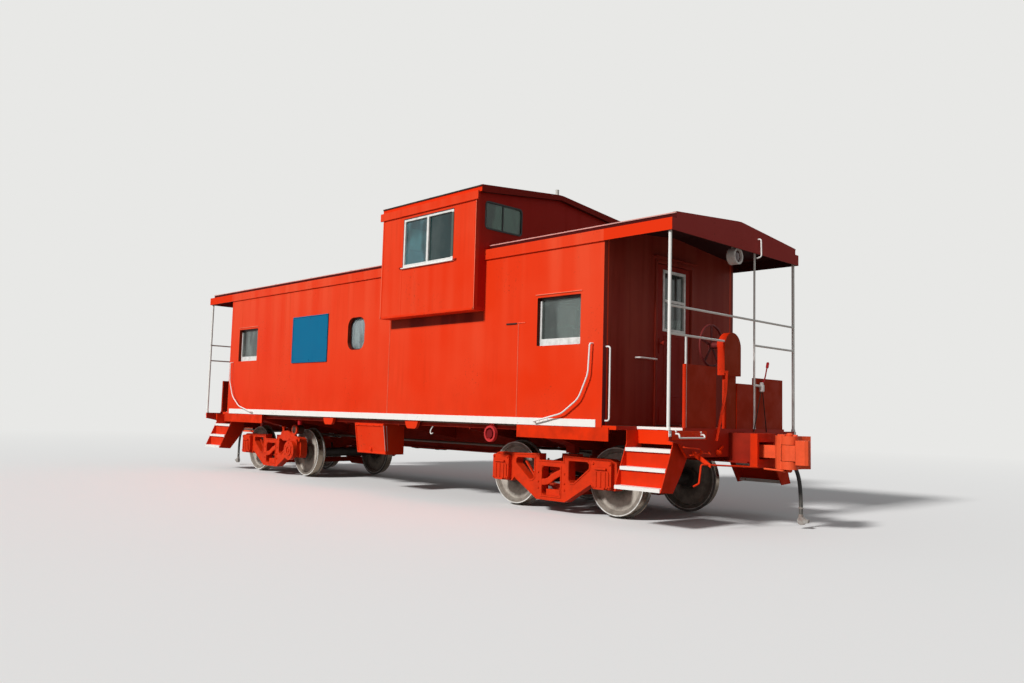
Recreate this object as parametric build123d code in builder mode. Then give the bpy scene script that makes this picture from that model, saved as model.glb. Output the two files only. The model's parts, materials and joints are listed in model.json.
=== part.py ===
# Railway caboose with a wide cupola, built of steel sheet on a short four-axle frame.
# Millimetres. +X is the end with the hand brake (end A), -Y the side with the blue plate, +Z up.
# The origin is under the middle of the car, level with the tips of the wheel flanges.
import os
from math import pi, radians, tan

from build123d import *

os.makedirs("parts", exist_ok=True)

# Wheels and axles
wheel_radius = 419
flange_depth = 25
axle_z = wheel_radius + flange_depth
flange_gauge = 1353
rim_width = 140
axle_radius = 78
journal_radius = 66
journal_end_y = 1075
wheelbase = 1740
truck_spacing = 7170

# Body shell
body_length = 9400
body_width = 2814
wall = 90
end_wall = 60
sheet_z = 1103
floor_z = 1130
floor_thickness = 50
wall_top_z = 3420

# Main roof and the letter board under its edge
roof_length = 11330
roof_width = 2690
roof_eave_z = 3494
roof_ridge_z = 3617
roof_thickness = 78
board_z = 3283
board_proud = 23

# Cupola
cupola_x0 = 539
cupola_x1 = 2649
cupola_width = 3220
cupola_wall = 60
cupola_z = 2592
cupola_shelf = 48
cupola_board_z = 4077
cupola_wall_top_z = 4190
cupola_roof_width = 3152
cupola_eave_z = 4275
cupola_ridge_z = 4440
cupola_roof_thickness = 72
cupola_roof_overhang = 60

# End platforms and steps
platform_x = 5630
deck_z = 1125
deck_thickness = 45
well_x0 = 4905
well_y = 1000
sill_plate = 30
well_x1 = 5550
sill_x = platform_x - sill_plate
step_plate = 12
nosing_height = 40

# Couplers and draft gear
coupler_z = 880
coupler_pin_x = 5300
striker_x = 6000

half_body = body_length / 2
half_width = body_width / 2
half_roof = roof_length / 2
half_cupola = cupola_width / 2
truck_x = truck_spacing / 2
inner_y = half_width - wall
under_z = floor_z - floor_thickness


# Side windows: centre along the car, centre height, width, height, corner radius, frame bar, foot bar
side_windows = [
    (-3988, 2400, 720, 605, 12, 28, 90),
    (-382, 2442, 470, 520, 150, 22, 22),
    (3988, 2385, 720, 605, 12, 28, 90),
]
side_frame_setback = 56
cupola_window_x, cupola_window_z = 1627, 3670
cupola_window_width, cupola_window_height = 1126, 722
cupola_end_window_y, cupola_end_window_z = 1103, 3900
cupola_end_window_width, cupola_end_window_height = 705, 390
cupola_end_window_radius = 60
frame_bar = 42
frame_depth = 50
glass_thickness = 8


def mirrored(points):
    """Close an outline given on its positive side by its mirror image about the upright axis."""
    return points + [(-u, v) for u, v in reversed(points) if u != 0]


# Floor of the body
with BuildPart() as floor:
    with BuildSketch(Plane.XY.offset(under_z)):
        Rectangle(body_length, 2 * inner_y)
    extrude(amount=floor_thickness)
floor.part.label = "floor"
export_step(floor.part, "parts/floor.step")

# Side walls: sheet with its lining, window openings, the bay under the cupola and the letter board
with BuildPart() as side_walls:
    with BuildSketch(Plane.XZ.offset(inner_y)):
        Polygon(*[
            (-half_body, sheet_z), (half_body, sheet_z), (half_body, wall_top_z),
            (cupola_x1, wall_top_z), (cupola_x1, cupola_z), (cupola_x0, cupola_z),
            (cupola_x0, wall_top_z), (-half_body, wall_top_z),
        ])
        for x, z, width, height, radius, _, _ in side_windows:
            with Locations((x, z)):
                RectangleRounded(width, height, radius, mode=Mode.SUBTRACT)
    extrude(amount=wall)
    with BuildSketch(Plane.XZ.offset(half_width)):
        for x0, x1 in ((-half_body, cupola_x0), (cupola_x1, half_body)):
            with Locations(((x0 + x1) / 2, (board_z + wall_top_z) / 2)):
                Rectangle(x1 - x0, wall_top_z - board_z)
    extrude(amount=board_proud)
    mirror(about=Plane.XZ)
side_walls.part.label = "side_walls"
export_step(side_walls.part, "parts/side_walls.step")

# End walls with their door openings, and doors that swing inwards
door_width = 700
door_height = 2035
door_thickness = 45
door_gap = 9
door_window_width, door_window_height, door_window_z = 490, 780, 2710
roof_under_ridge_z = roof_ridge_z - roof_thickness
roof_under_y = 1280

with BuildPart() as end_walls:
    with BuildSketch(Plane.YZ.offset(half_body - end_wall)):
        Polygon(*mirrored([
            (0, roof_under_ridge_z), (roof_under_y, wall_top_z), (inner_y, wall_top_z), (inner_y, floor_z),
        ]))
        with Locations((0, floor_z + (door_height + door_gap) / 2)):
            Rectangle(door_width + 2 * door_gap, door_height + door_gap, mode=Mode.SUBTRACT)
    extrude(amount=end_wall)
    mirror(about=Plane.YZ)
end_walls.part.label = "end_walls"
export_step(end_walls.part, "parts/end_walls.step")

hinge_x = half_body - end_wall - 12
hinge_y = door_width / 2 + 4
hinge_radius = 9
with BuildPart() as door:
    with BuildSketch(Plane.YZ.offset(half_body - 5 - door_thickness)):
        with Locations((0, floor_z + door_gap + (door_height - door_gap) / 2)):
            Rectangle(door_width, door_height - door_gap)
        with Locations((0, door_window_z)):
            Rectangle(door_window_width, door_window_height, mode=Mode.SUBTRACT)
    extrude(amount=door_thickness)
    with BuildSketch(Plane.YZ.offset(half_body - 5)):
        with Locations((-door_width / 2 + 60, 2130)):
            RectangleRounded(50, 190, 12)
    extrude(amount=8)
    with BuildSketch(Plane.YZ.offset(half_body + 3)):
        with Locations((-door_width / 2 + 60, 2160)):
            Circle(16)
    extrude(amount=45)
    with BuildSketch(Plane.YZ.offset(half_body + 48)):
        with Locations((-door_width / 2 + 60, 2160)):
            Circle(30)
    extrude(amount=22)
    for z in (1400, 2200, 3000):
        with BuildSketch(Plane.XY.offset(z)):
            with Locations((hinge_x, hinge_y)):
                Circle(hinge_radius)
            with Locations((hinge_x + 12, hinge_y - 16)):
                Rectangle(24, 24)
        extrude(amount=110)

door_sash_bar = 34
with BuildPart() as door_sash:
    with BuildSketch(Plane.YZ.offset(half_body - 5 - door_thickness)):
        with Locations((0, door_window_z)):
            Rectangle(door_window_width, door_window_height)
            with Locations((0, (door_window_height - door_sash_bar) / 4), (0, -(door_window_height - door_sash_bar) / 4)):
                Rectangle(
                    door_window_width - 2 * door_sash_bar,
                    (door_window_height - 3 * door_sash_bar) / 2,
                    mode=Mode.SUBTRACT,
                )
    extrude(amount=door_thickness + 10)

with BuildPart() as door_glass:
    with BuildSketch(Plane.YZ.offset(half_body - 5 - door_thickness / 2)):
        with Locations((0, door_window_z)):
            with Locations((0, (door_window_height - door_sash_bar) / 4), (0, -(door_window_height - door_sash_bar) / 4)):
                Rectangle(
                    door_window_width - 2 * door_sash_bar,
                    (door_window_height - 3 * door_sash_bar) / 2,
                )
    extrude(amount=glass_thickness)



def roof_under(y):
    """Return the height of the underside of the main roof at a distance from the middle."""
    return roof_under_ridge_z - (roof_under_ridge_z - wall_top_z) * y / roof_under_y


# Main roof in two lengths, with its edge band, the platform hoods and the gable plates at the ends
fascia_plate = 12
half_roof_width = roof_width / 2
board_y = half_width + board_proud
hood_outer = mirrored([
    (0, roof_ridge_z), (half_roof_width, roof_eave_z), (half_roof_width, wall_top_z),
    (board_y, wall_top_z), (board_y, board_z),
])
hood_inner = mirrored([
    (0, roof_under_ridge_z), (roof_under_y, wall_top_z), (roof_under_y, wall_top_z - 20),
    (half_width, wall_top_z - 20), (half_width, board_z),
])
roof_lengths = [(-1, half_roof + cupola_x0), (1, half_roof - cupola_x1)]
with BuildPart() as roof:
    for side, length in roof_lengths:
        end_plane = Plane(origin=(side * half_roof, 0, 0), x_dir=(0, -side, 0), z_dir=(-side, 0, 0))
        with BuildSketch(end_plane):
            Polygon(*mirrored([(0, roof_ridge_z), (half_roof_width, roof_eave_z), (half_roof_width, wall_top_z)]))
            Polygon(*mirrored([(0, roof_under_ridge_z), (roof_under_y, wall_top_z)]), mode=Mode.SUBTRACT)
        extrude(amount=length)
        with BuildSketch(end_plane):
            Polygon(*hood_outer)
            Polygon(*hood_inner, mode=Mode.SUBTRACT)
        extrude(amount=half_roof - half_body)
        with BuildSketch(end_plane):
            Polygon(*hood_outer)
        extrude(amount=fascia_plate)
roof.part.label = "roof"
export_step(roof.part, "parts/roof.step")

# Cupola sides with the shelf that carries them out past the body
with BuildPart() as cupola_sides:
    with BuildSketch(Plane.XZ.offset(half_cupola - cupola_wall)):
        with Locations(((cupola_x0 + cupola_x1) / 2, (cupola_z + cupola_wall_top_z) / 2)):
            Rectangle(cupola_x1 - cupola_x0, cupola_wall_top_z - cupola_z)
        with Locations((cupola_window_x, cupola_window_z)):
            Rectangle(cupola_window_width, cupola_window_height, mode=Mode.SUBTRACT)
    extrude(amount=cupola_wall)
    with BuildSketch(Plane.XZ.offset(inner_y)):
        with Locations(((cupola_x0 + cupola_x1) / 2, cupola_z + cupola_shelf / 2)):
            Rectangle(cupola_x1 - cupola_x0, cupola_shelf)
    extrude(amount=half_cupola - cupola_wall - inner_y)
    with BuildSketch(Plane.XZ.offset(half_cupola)):
        with Locations(((cupola_x0 + cupola_x1) / 2, (cupola_board_z + cupola_wall_top_z) / 2)):
            Rectangle(cupola_x1 - cupola_x0 + 100, cupola_wall_top_z - cupola_board_z)
    extrude(amount=board_proud)
    mirror(about=Plane.XZ)
cupola_sides.part.label = "cupola_sides"
export_step(cupola_sides.part, "parts/cupola_sides.step")

# Cupola ends, standing on the shelf and on a header above the aisle
cupola_inner_y = half_cupola - cupola_wall
cupola_under_ridge_z = cupola_ridge_z - cupola_roof_thickness
cupola_under_y = 1490
header_z = 3300
with BuildPart() as cupola_ends:
    for x in (cupola_x0, cupola_x1 - cupola_wall):
        with BuildSketch(Plane.YZ.offset(x)):
            Polygon(*mirrored([
                (0, cupola_under_ridge_z), (cupola_under_y, cupola_wall_top_z),
                (cupola_inner_y, cupola_wall_top_z), (cupola_inner_y, cupola_z + cupola_shelf),
                (inner_y, cupola_z + cupola_shelf), (inner_y, header_z),
            ]))
            with Locations((-cupola_end_window_y, cupola_end_window_z), (cupola_end_window_y, cupola_end_window_z)):
                RectangleRounded(
                    cupola_end_window_width, cupola_end_window_height, cupola_end_window_radius, mode=Mode.SUBTRACT
                )
        extrude(amount=cupola_wall)
cupola_ends.part.label = "cupola_ends"
export_step(cupola_ends.part, "parts/cupola_ends.step")

# Cupola roof with the small vent stub near its end A edge
half_cupola_roof = cupola_roof_width / 2
with BuildPart() as cupola_roof:
    with BuildSketch(Plane.YZ.offset(cupola_x0 - cupola_roof_overhang)):
        Polygon(*mirrored([
            (0, cupola_ridge_z), (half_cupola_roof, cupola_eave_z), (half_cupola_roof, cupola_wall_top_z),
        ]))
        Polygon(*mirrored([(0, cupola_under_ridge_z), (cupola_under_y, cupola_wall_top_z)]), mode=Mode.SUBTRACT)
    extrude(amount=cupola_x1 - cupola_x0 + 2 * cupola_roof_overhang)
    with BuildSketch(Plane.XY.offset(cupola_ridge_z - 30)):
        with Locations((cupola_x1 - 40, 0)):
            Circle(27)
    extrude(amount=130)
cupola_roof.part.label = "cupola_roof"
export_step(cupola_roof.part, "parts/cupola_roof.step")

# Cupola deck on each side of the aisle, over lockers, with a seat facing each way
aisle_y = 420
cupola_deck_z = 2560
locker_panel = 25
cupola_middle_x = (cupola_x0 + cupola_x1) / 2
with BuildPart() as cupola_deck:
    with BuildSketch(Plane.YZ.offset(cupola_x0 + cupola_wall + 5)):
        Polygon(*[
            (-aisle_y, floor_z), (-aisle_y, cupola_deck_z), (-inner_y, cupola_deck_z),
            (-inner_y, cupola_deck_z - locker_panel), (-aisle_y - locker_panel, cupola_deck_z - locker_panel),
            (-aisle_y - locker_panel, floor_z),
        ])
    extrude(amount=cupola_x1 - cupola_x0 - 2 * cupola_wall - 10)
    mirror(about=Plane.XZ)
cupola_deck.part.label = "cupola_deck"
export_step(cupola_deck.part, "parts/cupola_deck.step")

seat_y = 960
with BuildPart() as cupola_seats:
    for side in (-1, 1):
        with BuildSketch(Plane.XZ.offset(-seat_y - 240)):
            Polygon(*[
                (cupola_middle_x + side * 60, cupola_deck_z), (cupola_middle_x + side * 60, cupola_deck_z + 900),
                (cupola_middle_x + side * 150, cupola_deck_z + 900), (cupola_middle_x + side * 190, cupola_deck_z + 480),
                (cupola_middle_x + side * 640, cupola_deck_z + 500), (cupola_middle_x + side * 640, cupola_deck_z + 400),
                (cupola_middle_x + side * 420, cupola_deck_z + 380), (cupola_middle_x + side * 400, cupola_deck_z),
            ])
        extrude(amount=480)
    mirror(about=Plane.XZ)
cupola_seats.part.label = "cupola_seats"
export_step(cupola_seats.part, "parts/cupola_seats.step")

# Window frames and glass, set into the walls
end_frame_bar = 22


def pane(width, height, radius, bar, foot_bar, mode=Mode.ADD):
    """Add to the sketch the opening inside the bars of a window frame of the given outside size."""
    with Locations((0, (foot_bar - bar) / 2)):
        RectangleRounded(width - 2 * bar, height - bar - foot_bar, max(radius - bar, 4), mode=mode)


with BuildPart() as window_frames:
    with BuildSketch(Plane.XZ.offset(inner_y)):
        for x, z, width, height, radius, bar, foot_bar in side_windows:
            with Locations((x, z)):
                RectangleRounded(width, height, radius)
                pane(width, height, radius, bar, foot_bar, mode=Mode.SUBTRACT)
    extrude(amount=wall - side_frame_setback)
    with BuildSketch(Plane.XZ.offset(half_cupola - frame_depth)):
        with Locations((cupola_window_x, cupola_window_z)):
            RectangleRounded(cupola_window_width, cupola_window_height, 8)
            pane(cupola_window_width, cupola_window_height, 8, frame_bar, frame_bar, mode=Mode.SUBTRACT)
            Rectangle(frame_bar, cupola_window_height - frame_bar)
    extrude(amount=frame_depth + 10)
    mirror(about=Plane.XZ)
window_frames.part.label = "window_frames"
export_step(window_frames.part, "parts/window_frames.step")

with BuildPart() as window_gaskets:
    for x in (cupola_x0 - 8, cupola_x1 - 30):
        with BuildSketch(Plane.YZ.offset(x)):
            with Locations((-cupola_end_window_y, cupola_end_window_z), (cupola_end_window_y, cupola_end_window_z)):
                RectangleRounded(cupola_end_window_width, cupola_end_window_height, cupola_end_window_radius)
                pane(
                    cupola_end_window_width, cupola_end_window_height, cupola_end_window_radius,
                    end_frame_bar, end_frame_bar, mode=Mode.SUBTRACT,
                )
        extrude(amount=38)
window_gaskets.part.label = "window_gaskets"
export_step(window_gaskets.part, "parts/window_gaskets.step")

with BuildPart() as window_glass:
    with BuildSketch(Plane.XZ.offset(inner_y + 12)):
        for x, z, width, height, radius, bar, foot_bar in side_windows:
            with Locations((x, z)):
                pane(width, height, radius, bar, foot_bar)
    extrude(amount=glass_thickness)
    with BuildSketch(Plane.XZ.offset(half_cupola - frame_depth / 2)):
        with Locations((cupola_window_x, cupola_window_z)):
            pane(cupola_window_width, cupola_window_height, 8, frame_bar, frame_bar)
            Rectangle(frame_bar, cupola_window_height, mode=Mode.SUBTRACT)
    extrude(amount=glass_thickness)
    mirror(about=Plane.XZ)
    for x in (cupola_x0 + 8, cupola_x1 - 16):
        with BuildSketch(Plane.YZ.offset(x)):
            with Locations((-cupola_end_window_y, cupola_end_window_z), (cupola_end_window_y, cupola_end_window_z)):
                pane(
                    cupola_end_window_width, cupola_end_window_height, cupola_end_window_radius,
                    end_frame_bar, end_frame_bar,
                )
        extrude(amount=glass_thickness)
window_glass.part.label = "window_glass"
export_step(window_glass.part, "parts/window_glass.step")

# Blank blue plate on the -Y side
with BuildPart() as side_plate:
    with BuildSketch(Plane.XZ.offset(half_width)):
        with Locations((-1765, 2415)):
            Rectangle(1130, 800)
    extrude(amount=12)
side_plate.part.label = "side_plate"
export_step(side_plate.part, "parts/side_plate.step")

# White side sills along the foot of the sheets
side_sill_proud = 8
with BuildPart() as side_sills:
    with BuildSketch(Plane.XZ.offset(half_width)):
        with Locations((0, sheet_z + 44)):
            Rectangle(9220, 88)
    extrude(amount=side_sill_proud)
    mirror(about=Plane.XZ)
side_sills.part.label = "side_sills"
export_step(side_sills.part, "parts/side_sills.step")

# Underframe: centre sill with its belly, draft sills and strikers, bolsters, cross bearers and skirts
sill_inner_y = 165
sill_web = 16
sill_flange = 80
belly_z, belly_x0, belly_x1 = 640, 1600, 2700
sill_z, draft_z = 790, 740
draft_x0, draft_x1 = truck_x + 250, truck_x + 370
striker_length, striker_half, striker_z0, striker_z1 = 100, 205, 690, 1080
striker_back_x = striker_x - striker_length
throat_half, throat_z0, throat_z1 = 165, 785, 985
sill_bottom = [(belly_x0, belly_z), (belly_x1, sill_z), (draft_x0, sill_z), (draft_x1, draft_z),
               (striker_back_x, draft_z)]
bolster_half_x, bolster_end_y = 140, 1300
centre_plate_z, centre_plate_radius = 690, 165
kingpin_radius, kingpin_z = 25, 600
skirt_x0, skirt_x1, skirt_z, skirt_plate = 3310, 4800, 945, 12
skirt_bracket_x = (3370, 4055, 4640)
cross_bearer_x = (-2300, -700, 700, 2300)
cross_bearer_y, cross_bearer_end_z, cross_bearer_root_z = 1310, 1010, 830
side_bearing_y, side_bearing_z = 640, 745
draft_pin_radius = 34

with BuildPart() as underframe:
    with BuildSketch(Plane.XZ.offset(sill_inner_y)):
        Polygon(*mirrored([(striker_back_x, under_z)] + sill_bottom[::-1]))
    extrude(amount=sill_web)
    with BuildSketch(Plane.XZ.offset(sill_inner_y)):
        Polygon(*mirrored(
            [(0, belly_z + sill_web)] + [(x, z + sill_web) for x, z in sill_bottom] + sill_bottom[::-1] + [(0, belly_z)]
        ))
    extrude(amount=sill_web + sill_flange)
    for x in cross_bearer_x:
        with BuildSketch(Plane.YZ.offset(x - 6)):
            Polygon(
                (-cross_bearer_y, under_z), (-cross_bearer_y, cross_bearer_end_z),
                (-sill_inner_y - 1, cross_bearer_root_z), (-sill_inner_y - 1, under_z),
            )
        extrude(amount=12)
    with BuildSketch(Plane.XZ.offset(1250)):
        with Locations((0, under_z - 25)):
            Rectangle(body_length, 50)
    extrude(amount=60)
    for x0, x1 in ((-skirt_x1, -skirt_x0), (skirt_x0, skirt_x1)):
        with BuildSketch(Plane.XZ.offset(half_width - skirt_plate)):
            with Locations(((x0 + x1) / 2, (skirt_z + sheet_z) / 2)):
                Rectangle(x1 - x0, sheet_z - skirt_z)
        extrude(amount=skirt_plate)
    for x in skirt_bracket_x:
        for side in (-1, 1):
            with BuildSketch(Plane.YZ.offset(side * x - 5)):
                Polygon(
                    (-half_width, sheet_z), (-half_width, skirt_z), (-half_width + 30, skirt_z),
                    (-bolster_end_y, under_z - 50), (-bolster_end_y, under_z), (-inner_y, under_z),
                    (-inner_y, sheet_z),
                )
            extrude(amount=10)
    mirror(about=Plane.XZ)
    for side in (-1, 1):
        with BuildSketch(Plane.YZ.offset(side * truck_x - bolster_half_x)):
            Polygon(*mirrored([(bolster_end_y, under_z), (bolster_end_y, 1000), (480, sill_z), (0, sill_z)]))
        extrude(amount=2 * bolster_half_x)
        with BuildSketch(Plane.XY.offset(centre_plate_z)):
            with Locations((side * truck_x, 0)):
                Circle(centre_plate_radius)
        extrude(amount=sill_z - centre_plate_z + 20)
        with BuildSketch(Plane.XY.offset(kingpin_z)):
            with Locations((side * truck_x, 0)):
                Circle(kingpin_radius)
        extrude(amount=sill_z - kingpin_z)
        with BuildSketch(Plane.XY.offset(side_bearing_z)):
            with Locations((side * truck_x, -side_bearing_y), (side * truck_x, side_bearing_y)):
                Rectangle(150, 90)
        extrude(amount=120)
        with BuildSketch(Plane.YZ.offset(min(side * striker_back_x, side * striker_x))):
            with Locations((0, (striker_z0 + striker_z1) / 2)):
                Rectangle(2 * striker_half, striker_z1 - striker_z0)
            with Locations((0, (throat_z0 + throat_z1) / 2)):
                Rectangle(2 * throat_half, throat_z1 - throat_z0, mode=Mode.SUBTRACT)
        extrude(amount=striker_length)
        with BuildSketch(Plane.XY.offset(under_z - sill_web)):
            with Locations((side * ((coupler_pin_x + striker_back_x) / 2 - 100), 0)):
                Rectangle(striker_back_x - coupler_pin_x + 200, 2 * sill_inner_y)
        extrude(amount=sill_web)
        with BuildSketch(Plane.XY.offset(coupler_z - 120)):
            with Locations((side * coupler_pin_x, 0)):
                Circle(draft_pin_radius)
        extrude(amount=under_z - coupler_z + 120 - sill_web)
underframe.part.label = "underframe"
export_step(underframe.part, "parts/underframe.step")

# Platforms: deck with its step wells, end sill plate and the riser under each edge of the deck
deck_wide_y = half_width - skirt_plate
sill_shoulder_y, sill_shoulder_z = 1105, 1098
end_sill = [
    (sill_shoulder_y, deck_z), (sill_shoulder_y, sill_shoulder_z), (1400, sill_shoulder_z), (1400, 990),
    (1190, 950), (1050, 800), (210, 800), (210, deck_z - deck_thickness), (0, deck_z - deck_thickness),
]
with BuildPart() as platforms:
    with BuildSketch(Plane.XY.offset(deck_z - deck_thickness)):
        Polygon(
            (half_body, -deck_wide_y), (well_x0, -deck_wide_y), (well_x0, -well_y), (platform_x, -well_y),
            (platform_x, well_y), (well_x0, well_y), (well_x0, deck_wide_y), (half_body, deck_wide_y),
        )
    extrude(amount=deck_thickness)
    with BuildSketch(Plane.YZ.offset(sill_x)):
        Polygon(*mirrored(end_sill))
    extrude(amount=sill_plate)
    with BuildSketch(Plane.XZ.offset(well_y - step_plate)):
        with Locations(((well_x0 + platform_x) / 2, (930 + deck_z) / 2)):
            Rectangle(platform_x - well_x0, deck_z - 930)
    extrude(amount=step_plate)
    with BuildSketch(Plane.XZ.offset(-well_y)):
        with Locations(((well_x0 + platform_x) / 2, (930 + deck_z) / 2)):
            Rectangle(platform_x - well_x0, deck_z - 930)
    extrude(amount=step_plate)
    mirror(about=Plane.YZ)
platforms.part.label = "platforms"
export_step(platforms.part, "parts/platforms.step")

# Steps: two slanting stringers, closed risers and treads with white nosings, one stack at each corner
# Nosings, top one first: distance out from the middle of the car, height of the top face
nosings = [(1240, 885), (1335, 675), (1430, 465)]
tread_depth = 190
riser_inset = 25
hanger_z = 965
stringer = [
    (-well_y, under_z), (-1210, under_z), (-1210, 930), (-1425, 425), (-1200, 410), (-1050, 610), (-930, 800),
    (-930, 930), (-well_y, 930),
]
with BuildPart() as steps:
    for x in (well_x0, well_x1 - step_plate):
        with BuildSketch(Plane.YZ.offset(x)):
            Polygon(*stringer)
        extrude(amount=step_plate)
    for (y, top), (_, below) in zip(nosings, nosings[1:]):
        with BuildSketch(Plane.XZ.offset(y - riser_inset - step_plate)):
            with Locations(((well_x0 + well_x1) / 2, (top - nosing_height + below) / 2)):
                Rectangle(well_x1 - well_x0, top - nosing_height - below)
        extrude(amount=step_plate)
    with BuildSketch(Plane.XZ.offset(1210 - step_plate)):
        with Locations(((well_x1 + sill_x) / 2, (hanger_z + under_z) / 2)):
            Rectangle(sill_x - well_x1, under_z - hanger_z)
    extrude(amount=step_plate)
    mirror(about=Plane.XZ)
    mirror(about=Plane.YZ)
steps.part.label = "steps"
export_step(steps.part, "parts/steps.step")

with BuildPart() as step_treads:
    for y, top in nosings:
        with BuildSketch(Plane.XZ.offset(y - tread_depth)):
            with Locations(((well_x0 + well_x1) / 2, top - nosing_height / 2)):
                Rectangle(well_x1 - well_x0 - 2 * step_plate, nosing_height)
        extrude(amount=tread_depth)
    with BuildSketch(Plane.XZ.offset(well_y)):
        with Locations(((well_x0 + sill_x) / 2, deck_z - 15)):
            Rectangle(sill_x - well_x0, 30)
    extrude(amount=10)
    mirror(about=Plane.XZ)
    mirror(about=Plane.YZ)
step_treads.part.label = "step_treads"
export_step(step_treads.part, "parts/step_treads.step")

# Side grab irons: a rod from the corner that sweeps down to the sill, an upright one round the corner,
# and a level one beside each door
grab_radius = 10
grab_standoff = 60
grab_y = half_width + grab_standoff
corner_y = half_width - 60
with BuildPart() as grab_irons:
    for side in (-1, 1):
        corner_x = side * half_body
        outer_x = side * (half_body + grab_standoff)
        with BuildLine() as sweep_path:
            FilletPolyline(
                (side * 4550, -half_width, 2080), (side * 4550, -grab_y, 2080), (side * 4530, -grab_y, 1720),
                (side * 4390, -grab_y, 1430), (side * 4120, -grab_y, 1250), (side * 3650, -grab_y, 1145),
                (side * 3650, -half_width - side_sill_proud, 1145), radius=[30, 300, 300, 300, 30],
            )
        with BuildSketch(Plane(origin=sweep_path.line @ 0, z_dir=sweep_path.line % 0)):
            Circle(grab_radius)
        sweep(path=sweep_path.line)
        with BuildLine() as corner_path:
            FilletPolyline(
                (corner_x, -corner_y, 2040), (outer_x, -corner_y, 2040), (outer_x, -corner_y, 1180),
                (corner_x, -corner_y, 1180), radius=30,
            )
        with BuildSketch(Plane(origin=corner_path.line @ 0, z_dir=corner_path.line % 0)):
            Circle(grab_radius)
        sweep(path=corner_path.line)
    mirror(about=Plane.XZ)
    for side in (-1, 1):
        corner_x = side * half_body
        outer_x = side * (half_body + grab_standoff)
        with BuildLine() as door_path:
            FilletPolyline(
                (corner_x, -side * 790, 1950), (outer_x, -side * 790, 1950), (outer_x, -side * 420, 1950),
                (corner_x, -side * 420, 1950), radius=30,
            )
        with BuildSketch(Plane(origin=door_path.line @ 0, z_dir=door_path.line % 0)):
            Circle(grab_radius)
        sweep(path=door_path.line)
grab_irons.part.label = "grab_irons"
export_step(grab_irons.part, "parts/grab_irons.step")

# End railings: corner posts, a middle stanchion, an upper and a lower rail
post_x, post_y, post_radius = 5610, 1385, 19
stanchion_y, rail_radius = 400, 13
upper_rail_z, lower_rail_z = 2460, 2150
column_y0, column_y1 = -290, 70
hood_under_z = wall_top_z - 20
panel_post_x, panel_post_y, panel_post_z = 5590, -1035, 1835
with BuildPart() as railing:
    for y in (-post_y, post_y):
        with BuildSketch(Plane.XY.offset(sill_shoulder_z)):
            with Locations((post_x, y)):
                Circle(post_radius)
        extrude(amount=hood_under_z - sill_shoulder_z)
    with BuildSketch(Plane.XY.offset(deck_z)):
        with Locations((post_x, stanchion_y)):
            Circle(rail_radius)
    extrude(amount=roof_under(stanchion_y + rail_radius) - deck_z)
    for z, y0, y1 in (
        (upper_rail_z, -post_y, post_y), (lower_rail_z, -post_y, column_y0), (lower_rail_z, stanchion_y, post_y),
    ):
        with BuildSketch(Plane.XZ.offset(-y0)):
            with Locations((post_x, z)):
                Circle(rail_radius)
        extrude(amount=-(y1 - y0))
    with BuildSketch(Plane.XY.offset(panel_post_z)):
        with Locations((panel_post_x, panel_post_y)):
            Circle(rail_radius)
    extrude(amount=lower_rail_z - panel_post_z)
with BuildPart() as end_railings:
    add(railing.part)
    add(railing.part.rotate(Axis.Z, 180))
end_railings.part.label = "end_railings"
export_step(end_railings.part, "parts/end_railings.step")

# Railing panels, sheet with its edges folded towards the car: width from and to, height of the top edge
panels = [(-1060, -450, panel_post_z), (5, 375, 1665), (425, 1100, 1750)]
panel_x0, panel_x1, panel_sheet = 5565, 5610, 8
with BuildPart() as panel_set:
    for y0, y1, top in panels:
        with BuildSketch(Plane.YZ.offset(panel_x0)):
            with Locations(((y0 + y1) / 2, (deck_z + top) / 2)):
                Rectangle(y1 - y0, top - deck_z)
        extrude(amount=panel_x1 - panel_x0)
        with BuildSketch(Plane.YZ.offset(panel_x0)):
            with Locations(((y0 + y1) / 2, (deck_z + top - panel_sheet) / 2)):
                Rectangle(y1 - y0 - 2 * panel_sheet, top - panel_sheet - deck_z)
        extrude(amount=panel_x1 - panel_x0 - panel_sheet, mode=Mode.SUBTRACT)
with BuildPart() as rail_panels:
    add(panel_set.part)
    add(panel_set.part.rotate(Axis.Z, 180))
rail_panels.part.label = "rail_panels"
export_step(rail_panels.part, "parts/rail_panels.step")

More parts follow.
